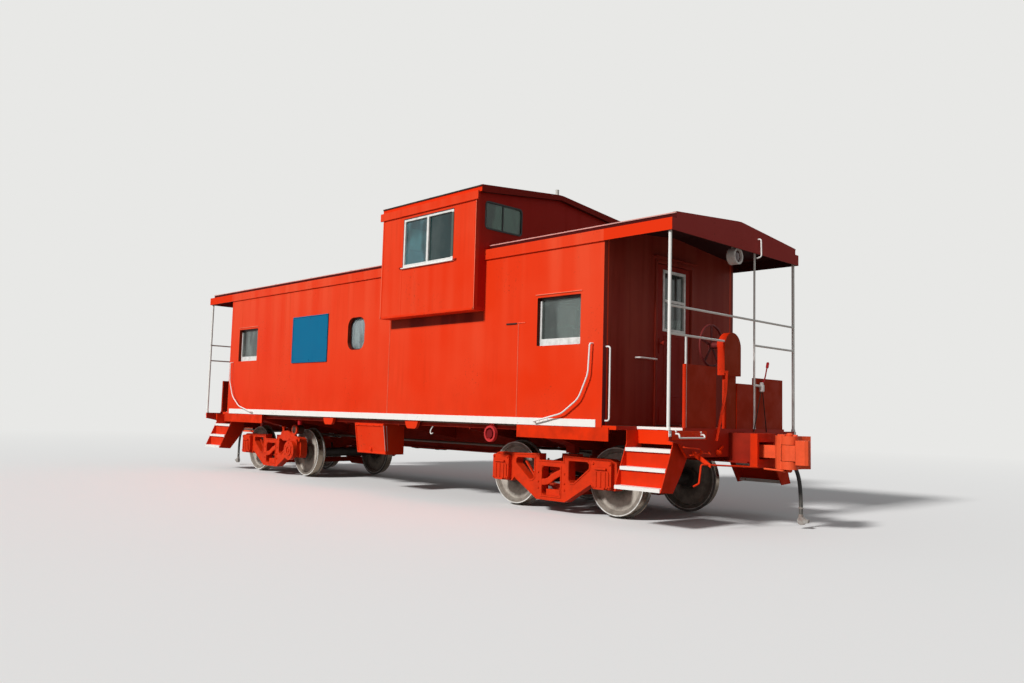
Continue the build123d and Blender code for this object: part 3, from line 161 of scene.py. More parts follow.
@dataclass
class Recipe:
    """One material's node tree, with the patterns that several finishes share."""

    name: str
    material: bpy.types.Material = field(init=False)

    def __post_init__(self) -> None:
        """Start an empty tree that reads the piece's own coordinates."""
        self.material = bpy.data.materials.new(self.name)
        self.material.use_nodes = True
        self.tree = self.material.node_tree
        self.tree.nodes.clear()
        self.place: Socket = add_node(self.tree, "ShaderNodeTexCoord").outputs["Object"]
        self.normal: Socket = add_node(self.tree, "ShaderNodeNewGeometry").outputs["Normal"]

    def calc(self, operation: str, first: Any, second: Any = 0.0) -> Socket:
        """Join two numbers of the pattern by plain arithmetic, kept between 0 and 1."""
        return add_node(self.tree, "ShaderNodeMath", {"operation": operation, "use_clamp": True},
                        {0: first, 1: second}).outputs[0]

    def times(self, first: Any, second: Any) -> Socket:
        """Multiply two numbers of the pattern, kept between 0 and 1."""
        return self.calc("MULTIPLY", first, second)

    def patches(self, size: float | Point, low: float, high: float, detail: float = 3.0,
                shift: float = 0.0) -> Socket:
        """Give a mottled mask: noise of a real size, cut so that low gives 0 and high gives 1.

        Args:
            size: width of the noise's features, in metres, or their widths along x, y and z.
            low: noise value at which the mask starts.
            high: noise value from which it is full.
            detail: octaves of finer noise.
            shift: moves the pattern, so that two masks differ.

        Returns:
            The mask's socket.
        """
        widths = size if isinstance(size, tuple) else (size,) * 3
        spread = add_node(self.tree, "ShaderNodeMapping", None, {
            "Vector": self.place, "Location": (shift,) * 3, "Scale": tuple(1 / width for width in widths)})
        noise = add_node(self.tree, "ShaderNodeTexNoise", None, {
            "Vector": spread.outputs[0], "Scale": 1.0, "Detail": detail, "Roughness": 0.6})
        return add_node(self.tree, "ShaderNodeMapRange", None, {
            "Value": noise.outputs[0], "From Min": low, "From Max": high}).outputs[0]

    def between(self, value: Socket, start: float, end: float) -> Socket:
        """Give a mask that runs from 0 where the value is start to 1 where it is end."""
        return add_node(self.tree, "ShaderNodeMapRange", None, {
            "Value": value, "From Min": start, "From Max": end}).outputs[0]

    def over(self, below: Any, above: str, mask: Any) -> Socket:
        """Lay a colour over what is below by a mask."""
        return add_node(self.tree, "ShaderNodeMix", {"data_type": "RGBA"}, {
            0: mask, 6: linear(below) if isinstance(below, str) else below, 7: linear(above)}).outputs[2]

    def axes(self, vector: Socket) -> list[Socket]:
        """Split a vector into x, y and z."""
        return list(add_node(self.tree, "ShaderNodeSeparateXYZ", None, {0: vector}).outputs)

    def inside(self, zone: Zone) -> Socket:
        """Give the mask of a zone: 1 in its box, on faces that look its way.

        Args:
            zone: the box and the way its faces look.

        Returns:
            The mask's socket.
        """
        place = self.place
        if zone.mirrored:
            folded = add_node(self.tree, "ShaderNodeVectorMath", {"operation": "ABSOLUTE"}, {0: place})
            place = folded.outputs[0]
        apart = add_node(self.tree, "ShaderNodeVectorMath", {"operation": "SUBTRACT"}, {
            0: place, 1: zone.middle})
        apart = add_node(self.tree, "ShaderNodeVectorMath", {"operation": "ABSOLUTE"}, {0: apart.outputs[0]})
        gaps = self.axes(apart.outputs[0])
        x, y, z = (self.calc("LESS_THAN", gap, limit) for gap, limit in zip(gaps, zone.half))
        mask = self.times(self.times(x, y), z)
        along, across, up = self.axes(self.normal)
        looks = add_node(self.tree, "ShaderNodeCombineXYZ", None, {
            0: self.calc("ABSOLUTE", along), 1: self.calc("ABSOLUTE", across), 2: up})
        direction, least = zone.facing.value
        lean = add_node(self.tree, "ShaderNodeVectorMath", {"operation": "DOT_PRODUCT"}, {
            0: looks.outputs[0], 1: direction}).outputs["Value"]
        return self.times(mask, self.calc("GREATER_THAN", lean, least))

    def painted(self, colour: Any, zones: Sequence[Zone]) -> Any:
        """Lay the colour of each zone over what is below.

        Args:
            colour: what is below, as a hex value or a socket.
            zones: the zones, the last on top.

        Returns:
            The hex value or the socket of the colour on top.
        """
        for zone in zones:
            colour = self.over(colour, zone.colour, self.inside(zone))
        return colour

    def edges(self, radius: float) -> Socket:
        """Give a mask of outer and inner edges: how far the rounded normal leaves the true one.

        Args:
            radius: width of an edge, in metres.

        Returns:
            The mask's socket.
        """
        rounded = add_node(self.tree, "ShaderNodeBevel", {"samples": 4}, {"Radius": radius})
        along = add_node(self.tree, "ShaderNodeVectorMath", {"operation": "DOT_PRODUCT"},
                         {0: rounded.outputs[0], 1: self.normal})
        return self.between(along.outputs["Value"], 0.995, 0.86)

    def relief(self, height: Socket, distance: float, below: Socket | None = None) -> Socket:
        """Turn a height pattern into a normal.

        Args:
            height: the pattern, from 0 to 1.
            distance: its height at 1, in metres.
            below: another normal that it lies on.

        Returns:
            The normal's socket.
        """
        inputs: dict[Any, Any] = {"Height": height, "Distance": distance, "Strength": 1.0}
        if below is not None:
            inputs["Normal"] = below
        return add_node(self.tree, "ShaderNodeBump", None, inputs).outputs[0]

    def finish(self, sockets: dict[str, Any]) -> bpy.types.Material:
        """Close the tree with one shader.

        Args:
            sockets: values and links by the name of the shader's socket.

        Returns:
            The finished material.
        """
        shader = add_node(self.tree, "ShaderNodeBsdfPrincipled", None, sockets)
        add_node(self.tree, "ShaderNodeOutputMaterial", None, {"Surface": shader.outputs[0]})
        return self.material


@dataclass(frozen=True)
class SheetEnamel:
    """Alkyd enamel sprayed on welded steel sheet.

    It gives an even, half-glossy colour that has chalked in patches, wide upright bands of painted reflection
    from the waving sheet, faint rain streaks, a few rust freckles and the slow waves of sheet between its
    frames.
    """

    name: str
    colour: str
    faded: str
    dirt: str
    weathering: Weathering = Weathering.UPRIGHT
    zones: tuple[Zone, ...] = ()
    lining: tuple[Zone, ...] = ()
    roughness: float = 0.45
    sheen: float = 0.08
    fading: float = 0.3
    # Painted reflection: strength of wide upright bands of the faded colour, and two heights over which they
    # grow stronger and paler upwards
    reflection_banding: float = 0.0
    dirtiness: float = 0.2
    paler_upward_z: tuple[float, float] = (0.0, 0.0)
    rust: float = 0.5
    splash_z: float = 0.0
    buckle: float = 0.004
    lozenges: bool = False
    # Sizes in metres: chalked patches, bands of painted reflection, rain streaks and where they gather,
    # dust, dirt from the track, splashes, freckles and where they gather, waves of the sheet, and the grain
    # of the paint film, which is drawn at 15 mm because its real 1 mm is too fine to show
    patch: float = 1.3
    band: Point = (0.3, 0.3, 6.0)
    streak: Point = (0.07, 0.07, 1.6)
    rainy: float = 0.9
    dust: float = 0.35
    track_dirt: float = 0.22
    splash: Point = (0.18, 0.18, 0.5)
    splash_height: float = 0.5
    freckle: float = 0.03
    cluster: float = 0.7
    wave: float = 0.55
    grain: float = 0.015
    grain_height: float = 0.0006
    rust_colour: str = "#5B2A18"
    lozenge: float = 0.03
    lozenge_height: float = 0.0015

    def material(self) -> bpy.types.Material:
        """Build the material.

        Returns:
            The finished material.
        """
        r = Recipe(self.name)
        _, _, z = r.axes(r.place)
        _, _, facing_up = r.axes(r.normal)
        faded = r.patches(self.patch, 0.36, 0.72)
        streaks = r.patches(self.streak, 0.5, 0.78, 4.0, 3.7)
        colour = r.over(self.colour, self.faded, r.times(faded, self.fading))
        colour = r.painted(colour, self.zones)
        # Painted reflection of the waving sheet: wide upright bands of the faded colour, stronger and paler
        # upwards between two heights where these are given
        bands = r.times(r.patches(self.band, 0.42, 0.6, 1.5, 12.4), self.reflection_banding)
        if any(self.paler_upward_z):
            bands = r.times(r.calc("ADD", bands, 0.12), r.between(z, *self.paler_upward_z))
        colour = r.over(colour, self.faded, bands)
        if self.weathering is Weathering.UPRIGHT:
            dirty = r.times(streaks, r.patches(self.rainy, 0.4, 0.62, 2.0, 9.1))
        elif self.weathering is Weathering.LEVEL:
            lying = r.between(facing_up, 0.2, 0.9)
            dirty = r.times(lying, r.patches(self.dust, 0.3, 0.6, 5.0, 5.3))
        else:
            dirty = r.patches(self.track_dirt, 0.38, 0.66, 5.0, 1.9)
        if self.splash_z:
            low = r.between(z, self.splash_z + self.splash_height, self.splash_z)
            splashed = r.times(low, r.patches(self.splash, 0.35, 0.75, 5.0))
            dirty = r.calc("MAXIMUM", dirty, splashed)
        colour = r.over(colour, self.dirt, r.times(dirty, self.dirtiness))
        cluster = r.patches(self.cluster, 0.52, 0.66, 2.0, 6.6)
        freckles = r.times(r.patches(self.freckle, 0.6, 0.68, 5.0), cluster)
        rusty = r.times(freckles, self.rust)
        colour = r.over(colour, self.rust_colour, rusty)
        colour = r.painted(colour, self.lining)
        normal = r.relief(r.patches(self.wave, 0.0, 1.0, 1.0), self.buckle)
        normal = r.relief(r.patches(self.grain, 0.0, 1.0), self.grain_height, normal)
        if self.lozenges:
            aslant = add_node(r.tree, "ShaderNodeMapping", None, {
                "Vector": r.place, "Rotation": (0, 0, math.pi / 4)})
            bars = add_node(r.tree, "ShaderNodeTexBrick", None, {
                "Vector": aslant.outputs[0], "Scale": 1.0, "Mortar Size": self.lozenge * 0.2,
                "Mortar Smooth": 0.4, "Brick Width": self.lozenge, "Row Height": self.lozenge * 0.55})
            level = r.between(facing_up, 0.8, 0.95)
            raised = r.times(r.calc("SUBTRACT", 1.0, bars.outputs["Fac"]), level)
            normal = r.relief(raised, self.lozenge_height, normal)
        dull = r.calc("ADD", r.times(faded, 0.18), r.times(dirty, 0.25))
        return r.finish({"Base Color": colour, "Roughness": r.calc("ADD", dull, self.roughness),
                         "Normal": normal, "Specular IOR Level": self.sheen})


@dataclass(frozen=True)
class PaintedCasting:
    """Enamel brushed on sand-cast steel.

    It gives a coarse skin under the paint, black grease and dust with painted shade in the corners, and
    edges where the paint has chipped to a brown primer.
    """

    name: str
    colour: str
    dirt: str = "#3A2219"
    chipped: str = "#7A3B26"
    roughness: float = 0.5
    sheen: float = 0.12
    dirtiness: float = 0.45
    wear: float = 0.35
    # Sizes in metres: sand grain, drawn at 8 mm for the real 1 to 2 mm, which is too fine to show, and its
    # height; the mould's lumps and their height; dirt blotches; reach of the grease and painted shade in
    # corners; width of a worn edge and length of a chip on it
    sand: float = 0.008
    sand_height: float = 0.0012
    lump: float = 0.06
    lump_height: float = 0.003
    blotch: float = 0.12
    corner: float = 0.05
    edge: float = 0.006
    chip: float = 0.05

    def material(self) -> bpy.types.Material:
        """Build the material.

        Returns:
            The finished material.
        """
        r = Recipe(self.name)
        # Ambient occlusion darkens the corners: grease and dust, and painted shade
        corners = add_node(r.tree, "ShaderNodeAmbientOcclusion", {"samples": 4, "only_local": False},
                           {"Distance": self.corner}).outputs["AO"]
        blotches = r.patches(self.blotch, 0.42, 0.72, 5.0)
        dirty = r.calc("MAXIMUM", r.calc("SUBTRACT", 0.95, corners), r.times(blotches, 0.55))
        dirty = r.times(dirty, self.dirtiness)
        worn = r.times(r.edges(self.edge), r.patches(self.chip, 0.45, 0.6, 4.0, 2.2))
        colour = r.over(self.colour, self.dirt, dirty)
        colour = r.over(colour, self.chipped, r.times(worn, self.wear))
        skin = r.patches(self.sand, 0.0, 1.0, 3.0)
        lumps = r.patches(self.lump, 0.0, 1.0, 2.0)
        normal = r.relief(skin, self.sand_height, r.relief(lumps, self.lump_height))
        rough = r.calc("ADD", self.roughness, r.times(dirty, 0.3))
        return r.finish({"Base Color": colour, "Roughness": rough, "Normal": normal,
                         "Specular IOR Level": self.sheen})


@dataclass(frozen=True)
class WheelSteel:
    """Forged and turned wheel steel, with a limewashed line round the rim.

    It gives a worn brown tread, a dusty pale rim and plate, a white line at the rim's edge and a greasy hub.
    """

    name: str
    axle_x: float
    axle_z: float = 0.444
    reach: float = 0.46
    # Colour by distance from the axle, in metres, from the journal out to the flange
    rings: tuple[tuple[float, str], ...] = (
        (0.0, "#3A332D"), (0.11, "#2B2521"), (0.145, "#6E645A"), (0.25, "#C4BBAE"), (0.345, "#B4AB9F"),
        (0.362, "#8E857A"), (0.398, "#857B70"), (0.402, "#E6E3DC"), (0.4145, "#E6E3DC"), (0.4155, "#8D8A86"),
        (0.444, "#5A514B"),
    )
    tread_inner: float = 0.405
    # Sizes in metres: dirt blotches, and the turned skin with its height
    blotch: float = 0.07
    skin: float = 0.012
    skin_height: float = 0.0008

    def material(self) -> bpy.types.Material:
        """Build the material: the rings read the distance from the axle in the plane of the wheel.

        Returns:
            The finished material.
        """
        r = Recipe(self.name)
        centred = add_node(r.tree, "ShaderNodeMapping", None, {
            "Vector": r.place, "Location": (-self.axle_x, 0.0, -self.axle_z)}).outputs[0]
        flat = add_node(r.tree, "ShaderNodeVectorMath", {"operation": "MULTIPLY"}, {
            0: centred, 1: (1, 0, 1)}).outputs[0]
        radius = add_node(r.tree, "ShaderNodeVectorMath", {"operation": "LENGTH"}, {0: flat}).outputs["Value"]
        ramp = add_node(r.tree, "ShaderNodeValToRGB", None, {0: r.between(radius, 0.0, self.reach)})
        stops = ramp.color_ramp.elements
        for index, (distance, colour) in enumerate(self.rings):
            stop = stops[index] if index < 2 else stops.new(distance / self.reach)
            stop.position = distance / self.reach
            stop.color = linear(colour)
        _, across, _ = r.axes(r.normal)
        sideways = add_node(r.tree, "ShaderNodeMath", {"operation": "ABSOLUTE"}, {0: across}).outputs[0]
        outside = r.calc("GREATER_THAN", radius, self.tread_inner)
        tread = r.times(outside, r.between(sideways, 0.6, 0.35))
        dirt = r.patches(self.blotch, 0.4, 0.7, 5.0)
        colour = r.over(ramp.outputs[0], "#3B2A20", r.times(dirt, 0.4))
        colour = r.over(colour, "#9A8B7B", tread)
        normal = r.relief(r.patches(self.skin, 0.0, 1.0, 3.0), self.skin_height)
        dull = r.calc("ADD", 0.55, r.times(dirt, 0.25))
        rough = r.calc("SUBTRACT", dull, r.times(tread, 0.3))
        return r.finish({"Base Color": colour, "Roughness": rough, "Normal": normal, "Metallic": tread})


@dataclass(frozen=True)
class Glazing:
    """Float glass with a green tint and a film of dust, so that it mirrors and lets dark rooms show."""

    name: str
    tint: str
    dust: str = "#C6CFC8"
    gloom: str = "#0A1216"
    clear: float = 0.72
    film: float = 0.18
    dullness: float = 0.55
    zones: tuple[Zone, ...] = ()
    # Sizes in metres of the dark and of the dusty patches
    shade: Point = (0.35, 0.35, 0.9)
    smear: Point = (0.25, 0.25, 0.5)

    def material(self) -> bpy.types.Material:
        """Build the material: zones of other panes are tinted anew, dark and dusty patches lie over all.

        Returns:
            The finished material.
        """
        r = Recipe(self.name)
        dark = r.patches(self.shade, 0.5, 0.6, 2.0, 5.2)
        colour = r.over(r.painted(self.tint, self.zones), self.gloom, r.times(dark, self.dullness))
        smears = r.patches(self.smear, 0.48, 0.7, 4.0)
        colour = r.over(colour, self.dust, r.times(smears, self.film))
        rough = r.calc("ADD", 0.03, r.times(smears, 0.08))
        return r.finish({"Base Color": colour, "Roughness": rough, "Transmission Weight": self.clear,
                         "IOR": 1.5})


@dataclass(frozen=True)
class Extrusion:
    """Aluminium extrusion with a thin white enamel: pale, with fine lines along it and a dull bloom."""

    name: str
    colour: str = "#ECEBE7"
    bloom: str = "#C9C8C2"
    # Sizes in metres: drawn lines 4 mm apart, for the real 0.5 mm, which are too fine to show, and their
    # height; patches of the bloom
    line: Point = (0.004, 0.004, 0.3)
    line_height: float = 0.0003
    patch: float = 0.09
    zones: tuple[Zone, ...] = ()

    def material(self) -> bpy.types.Material:
        """Build the material.

        Returns:
            The finished material.
        """
        r = Recipe(self.name)
        oxide = r.patches(self.patch, 0.4, 0.7, 5.0)
        lines = r.patches(self.line, 0.0, 1.0, 2.0)
        colour = r.painted(r.over(self.colour, self.bloom, oxide), self.zones)
        rough = r.calc("ADD", 0.38, r.times(oxide, 0.25))
        return r.finish({"Base Color": colour, "Metallic": 0.15, "Roughness": rough,
                         "Normal": r.relief(lines, self.line_height)})


@dataclass(frozen=True)
class MouldedRubber:
    """Moulded rubber: matt black with a grey bloom, and dusty where it hangs low."""

    name: str
    colour: str = "#1D1E1F"
    bloom: str = "#4A4A48"
    dusty: str = "#68645E"
    dust_from_z: float = 0.0
    dust_full_z: float = 0.0
    # Sizes in metres: patches of the bloom and of the dust, and the moulded skin with its height
    patch: Point = (0.04, 0.04, 0.12)
    dust: Point = (0.03, 0.03, 0.1)
    skin: float = 0.006
    skin_height: float = 0.0008

    def material(self) -> bpy.types.Material:
        """Build the material.

        Returns:
            The finished material.
        """
        r = Recipe(self.name)
        grey = r.patches(self.patch, 0.4, 0.75, 5.0)
        colour = r.over(self.colour, self.bloom, r.times(grey, 0.6))
        if self.dust_from_z:
            _, _, z = r.axes(r.place)
            low = r.times(r.between(z, self.dust_from_z, self.dust_full_z),
                         r.patches(self.dust, 0.25, 0.6, 4.0, 4.0))
            colour = r.over(colour, self.dusty, low)
        normal = r.relief(r.patches(self.skin, 0.0, 1.0, 3.0), self.skin_height)
        rough = r.calc("ADD", 0.62, r.times(grey, 0.2))
        return r.finish({"Base Color": colour, "Roughness": rough, "Normal": normal})


@dataclass(frozen=True)
class BareSteel:
    """Hot-rolled steel left bare or galvanised: grey scale with brown rust blooming through it."""

    name: str
    colour: str
    rust: str = "#6A3A22"
    rustiness: float = 0.6
    metallic: float = 0.6
    roughness: float = 0.5
    # Sizes in metres: blooms of rust, and the scale's grain with its height
    bloom: float = 0.06
    scale: float = 0.007
    scale_height: float = 0.0008

    def material(self) -> bpy.types.Material:
        """Build the material.

        Returns:
            The finished material.
        """
        r = Recipe(self.name)
        rusty = r.times(r.patches(self.bloom, 0.42, 0.62, 6.0), self.rustiness)
        colour = r.over(self.colour, self.rust, rusty)
        metal = r.times(r.calc("SUBTRACT", 1.0, rusty), self.metallic)
        normal = r.relief(r.patches(self.scale, 0.0, 1.0, 4.0), self.scale_height)
        return r.finish({"Base Color": colour, "Metallic": metal, "Normal": normal,
                         "Roughness": r.calc("ADD", self.roughness, r.times(rusty, 0.35))})


@dataclass(frozen=True)
class SawnBoards:
    """Sawn and worn boards: each its own tone, long grain, dark gaps and a trodden grey."""

    name: str
    colour: str
    other: str
    board: float
    gap: float = 0.006
    grain: Point = (0.6, 0.008, 0.008)
    relief: float = 0.002
    dark_grain: str = "#4A3C2E"
    dark_gap: str = "#16120E"

    def material(self) -> bpy.types.Material:
        """Build the material: boards run along x, and a board's tone comes from its number across.

        Returns:
            The finished material.
        """
        r = Recipe(self.name)
        _, y, _ = r.axes(r.place)
        count = add_node(r.tree, "ShaderNodeMath", {"operation": "DIVIDE"}, {0: y, 1: self.board}).outputs[0]
        number = add_node(r.tree, "ShaderNodeMath", {"operation": "FLOOR"}, {0: count}).outputs[0]
        noise = add_node(r.tree, "ShaderNodeTexWhiteNoise", {"noise_dimensions": "1D"}, {"W": number})
        tone = noise.outputs["Value"]
        within = add_node(r.tree, "ShaderNodeMath", {"operation": "FRACT"}, {0: count}).outputs[0]
        gap = r.calc("LESS_THAN", within, self.gap / self.board)
        grain = r.patches(self.grain, 0.3, 0.7, 5.0)
        colour = r.over(self.colour, self.other, tone)
        colour = r.over(colour, self.dark_grain, r.times(grain, 0.45))
        colour = r.over(colour, self.dark_gap, gap)
        height = r.calc("SUBTRACT", r.times(grain, 0.3), gap)
        rough = r.calc("ADD", 0.6, r.times(tone, 0.15))
        return r.finish({"Base Color": colour, "Roughness": rough, "Normal": r.relief(height, self.relief)})


@dataclass(frozen=True)
class CoatedFabric:
    """Vinyl-coated cloth of a seat: pebbled grain, a soft sheen and creases rubbed pale."""

    name: str
    colour: str = "#3B2F28"
    rubbed: str = "#6B5A4C"
    # Sizes in metres: pebbles drawn at 6 mm for the real 2 mm, which are too fine to show, and their
    # height; rubbed patches
    pebble: float = 0.006
    pebble_height: float = 0.0008
    patch: float = 0.15

    def material(self) -> bpy.types.Material:
        """Build the material.

        Returns:
            The finished material.
        """
        r = Recipe(self.name)
        cells = add_node(r.tree, "ShaderNodeTexVoronoi", None, {"Vector": r.place, "Scale": 1 / self.pebble})
        rubbed = r.patches(self.patch, 0.45, 0.7, 4.0)
        colour = r.over(self.colour, self.rubbed, r.times(rubbed, 0.6))
        rough = r.calc("SUBTRACT", 0.6, r.times(rubbed, 0.2))
        return r.finish({"Base Color": colour, "Roughness": rough,
                         "Normal": r.relief(cells.outputs["Distance"], self.pebble_height)})


ORANGE = "#E43207"
FADED_ORANGE = "#EC5A38"
LINING = "#A9AE9C"
# Colours of painted shade in the window reveals, and of dark frames: rubber on the rounded window and painted
# shade elsewhere
REVEAL_SHADE = "#3A0E0A"
RUBBER_AND_SHADE_FRAME = "#2A1412"
# Rooms: the body between its end walls, the cupola, and the undersides of the two roofs
BODY_ROOM = Zone(LINING, (0.0, 0.0, 2.2), (4.645, 1.33, 2.2))
CUPOLA_ROOM = Zone(LINING, (1.594, 0.0, 3.45), (1.045, 1.56, 0.85), mirrored=False)
BODY_CEILING = Zone(LINING, (0.0, 0.0, 3.4), (4.645, 1.5, 0.3), Facing.BELOW)
CUPOLA_CEILING = Zone(LINING, (1.594, 0.0, 4.3), (1.045, 1.56, 0.3), Facing.BELOW, mirrored=False)
# Painted shade: on the sheet just below the cupola's overhang, and on the cut edges round the windows
UNDER_BAY_SHADE = Zone("#6F1408", (1.594, 0.0, 2.525), (1.03, 1.5, 0.067), Facing.SIDE, mirrored=False)
END_REVEAL = Zone(REVEAL_SHADE, (3.988, 1.37, 2.393), (0.42, 0.036, 0.36))
OVAL_REVEAL = Zone(REVEAL_SHADE, (-0.382, 0.0, 2.442), (0.3, 1.4055, 0.34), mirrored=False)
BAY_REVEAL = Zone(REVEAL_SHADE, (1.627, 0.0, 3.67), (0.58, 1.6085, 0.38), mirrored=False)
# Painted shade on the edges of the side sheets, as they show from the ends: at the body's corners and at the
# cupola
CORNER_EDGE_SHADE = Zone("#5A2226", (4.7, 1.4, 2.26), (0.02, 0.06, 1.3), Facing.END)
CUPOLA_EDGE_SHADE = Zone("#AC1E14", (1.594, 0.0, 3.4), (1.2, 1.7, 1.0), Facing.END, mirrored=False)
# Painted like the sides: the hoods' flanks, the sills' skirts, the coupler's striker, the deck's edges and
# the edges of the cupola's roof
HOOD_FLANK = Zone(ORANGE, (5.18, 1.45, 3.34), (0.49, 0.025, 0.09), Facing.SIDE)
SKIRT = Zone(ORANGE, (2.9, 1.45, 1.0), (2.9, 0.07, 0.3), Facing.SIDE)
STRIKER = Zone(ORANGE, (5.98, 0.0, 0.9), (0.07, 0.3, 0.3))
DECK_EDGE = Zone(ORANGE, (5.2, 0.8, 1.0), (0.6, 0.8, 0.4), Facing.SIDE)
CUPOLA_EAVE = Zone(ORANGE, (1.594, 0.0, 4.3), (1.2, 1.75, 0.3), Facing.SIDE, mirrored=False)
# The gables of the cupola's roof, maroon as painted shade on the orange, and the pale vent stub that stands
# on it
CUPOLA_GABLE_SHADE = Zone("#86221A", (1.594, 0.0, 4.3), (1.2, 1.75, 0.3), Facing.END, mirrored=False)
VENT = Zone("#C9C6BE", (2.609, 0.0, 4.55), (0.05, 0.05, 0.12), mirrored=False)
# The main roof's dark eave, the pale red face of its ends, and painted shade on the underside and inner
# flanks of its hoods
EAVE = Zone("#4A0E0A", (2.9, 1.345, 3.455), (2.9, 0.02, 0.04), Facing.SIDE)
FASCIA = Zone("#A83E39", (5.66, 0.0, 3.4), (0.05, 1.5, 0.3), Facing.END)
UNDER_HOOD_SHADE = Zone("#2C0E0B", (5.18, 0.0, 3.45), (0.47, 1.5, 0.3), Facing.BELOW)
HOOD_LINING_SHADE = Zone("#3A100C", (5.18, 1.38, 3.34), (0.47, 0.045, 0.09), Facing.SIDE)
# The outer faces of the hand brake's housing and of the rail panels, darkened as painted shade
COLUMN_FACE_SHADE = Zone("#A23414", (5.6, 0.0, 1.5), (0.2, 0.4, 0.8), Facing.END)
PANEL_FACE_SHADE = Zone("#B03216", (5.6, 0.7, 1.5), (0.03, 0.8, 0.6), Facing.END)
# The ring fitting on the sill has its rim pinkish as a painted highlight, and a darker maroon middle
RING_RIM_HIGHLIGHT = Zone("#C83A3A", (2.795, -1.38, 0.965), (0.12, 0.1, 0.12), mirrored=False)
RING_MIDDLE = Zone("#7A1A1E", (2.795, -1.38, 0.965), (0.06, 0.1, 0.06), mirrored=False)
# Dark frames: the rounded window's, dark as its rubber, and in painted shade the head of the square ones,
# the meeting rail of the cupola's side window, and the end and head of that window
OVAL_FRAME = Zone(RUBBER_AND_SHADE_FRAME, (-0.382, 0.0, 2.442), (0.3, 1.5, 0.34), mirrored=False)
SQUARE_HEAD = Zone(RUBBER_AND_SHADE_FRAME, (3.988, 1.37, 2.7), (0.4, 0.09, 0.045))
BAY_RAIL_SHADE = Zone("#46544E", (2.176, 0.0, 3.67), (0.034, 1.7, 0.31), mirrored=False)
BAY_END = Zone(REVEAL_SHADE, (1.068, 0.0, 3.67), (0.008, 1.7, 0.4), mirrored=False)
BAY_HEAD = Zone(REVEAL_SHADE, (1.627, 0.0, 4.03), (0.6, 1.7, 0.014), mirrored=False)
# Panes: the rounded window's is pale as a painted reflection, the cupola's end panes green, and of its side
# panes one is lighter and one darker, as painted reflections
OVAL_PANE_REFLECTION = Zone("#D8E8EA", (-0.382, 0.0, 2.442), (0.4, 1.6, 0.4), mirrored=False)
END_PANES = Zone("#7CB09C", (1.594, 0.0, 3.8), (1.2, 1.45, 0.6), mirrored=False)
LIGHT_PANE_REFLECTION = Zone("#6FA6B0", (1.345, 0.0, 3.8), (0.28, 1.7, 0.6), mirrored=False)
DARK_PANE_REFLECTION = Zone("#0A4C4E", (1.909, 0.0, 3.8), (0.28, 1.7, 0.6), mirrored=False)

ROOF_BITUMEN = SheetEnamel(
    "bitumen_paint_brushed_on_roof_sheet", "#5A241F", "#74403A", "#8B7A6C", weathering=Weathering.LEVEL,
    zones=(HOOD_FLANK, EAVE, FASCIA, UNDER_HOOD_SHADE, HOOD_LINING_SHADE), lining=(BODY_CEILING,), roughness=0.65,
    dirtiness=0.3)
STEP_ENAMEL = SheetEnamel(
    "enamelled_sheet_steps_orange", "#DC2E08", "#E04C2C", "#7A2414", weathering=Weathering.UNDER,
    dirtiness=0.2, buckle=0.001, patch=0.5)
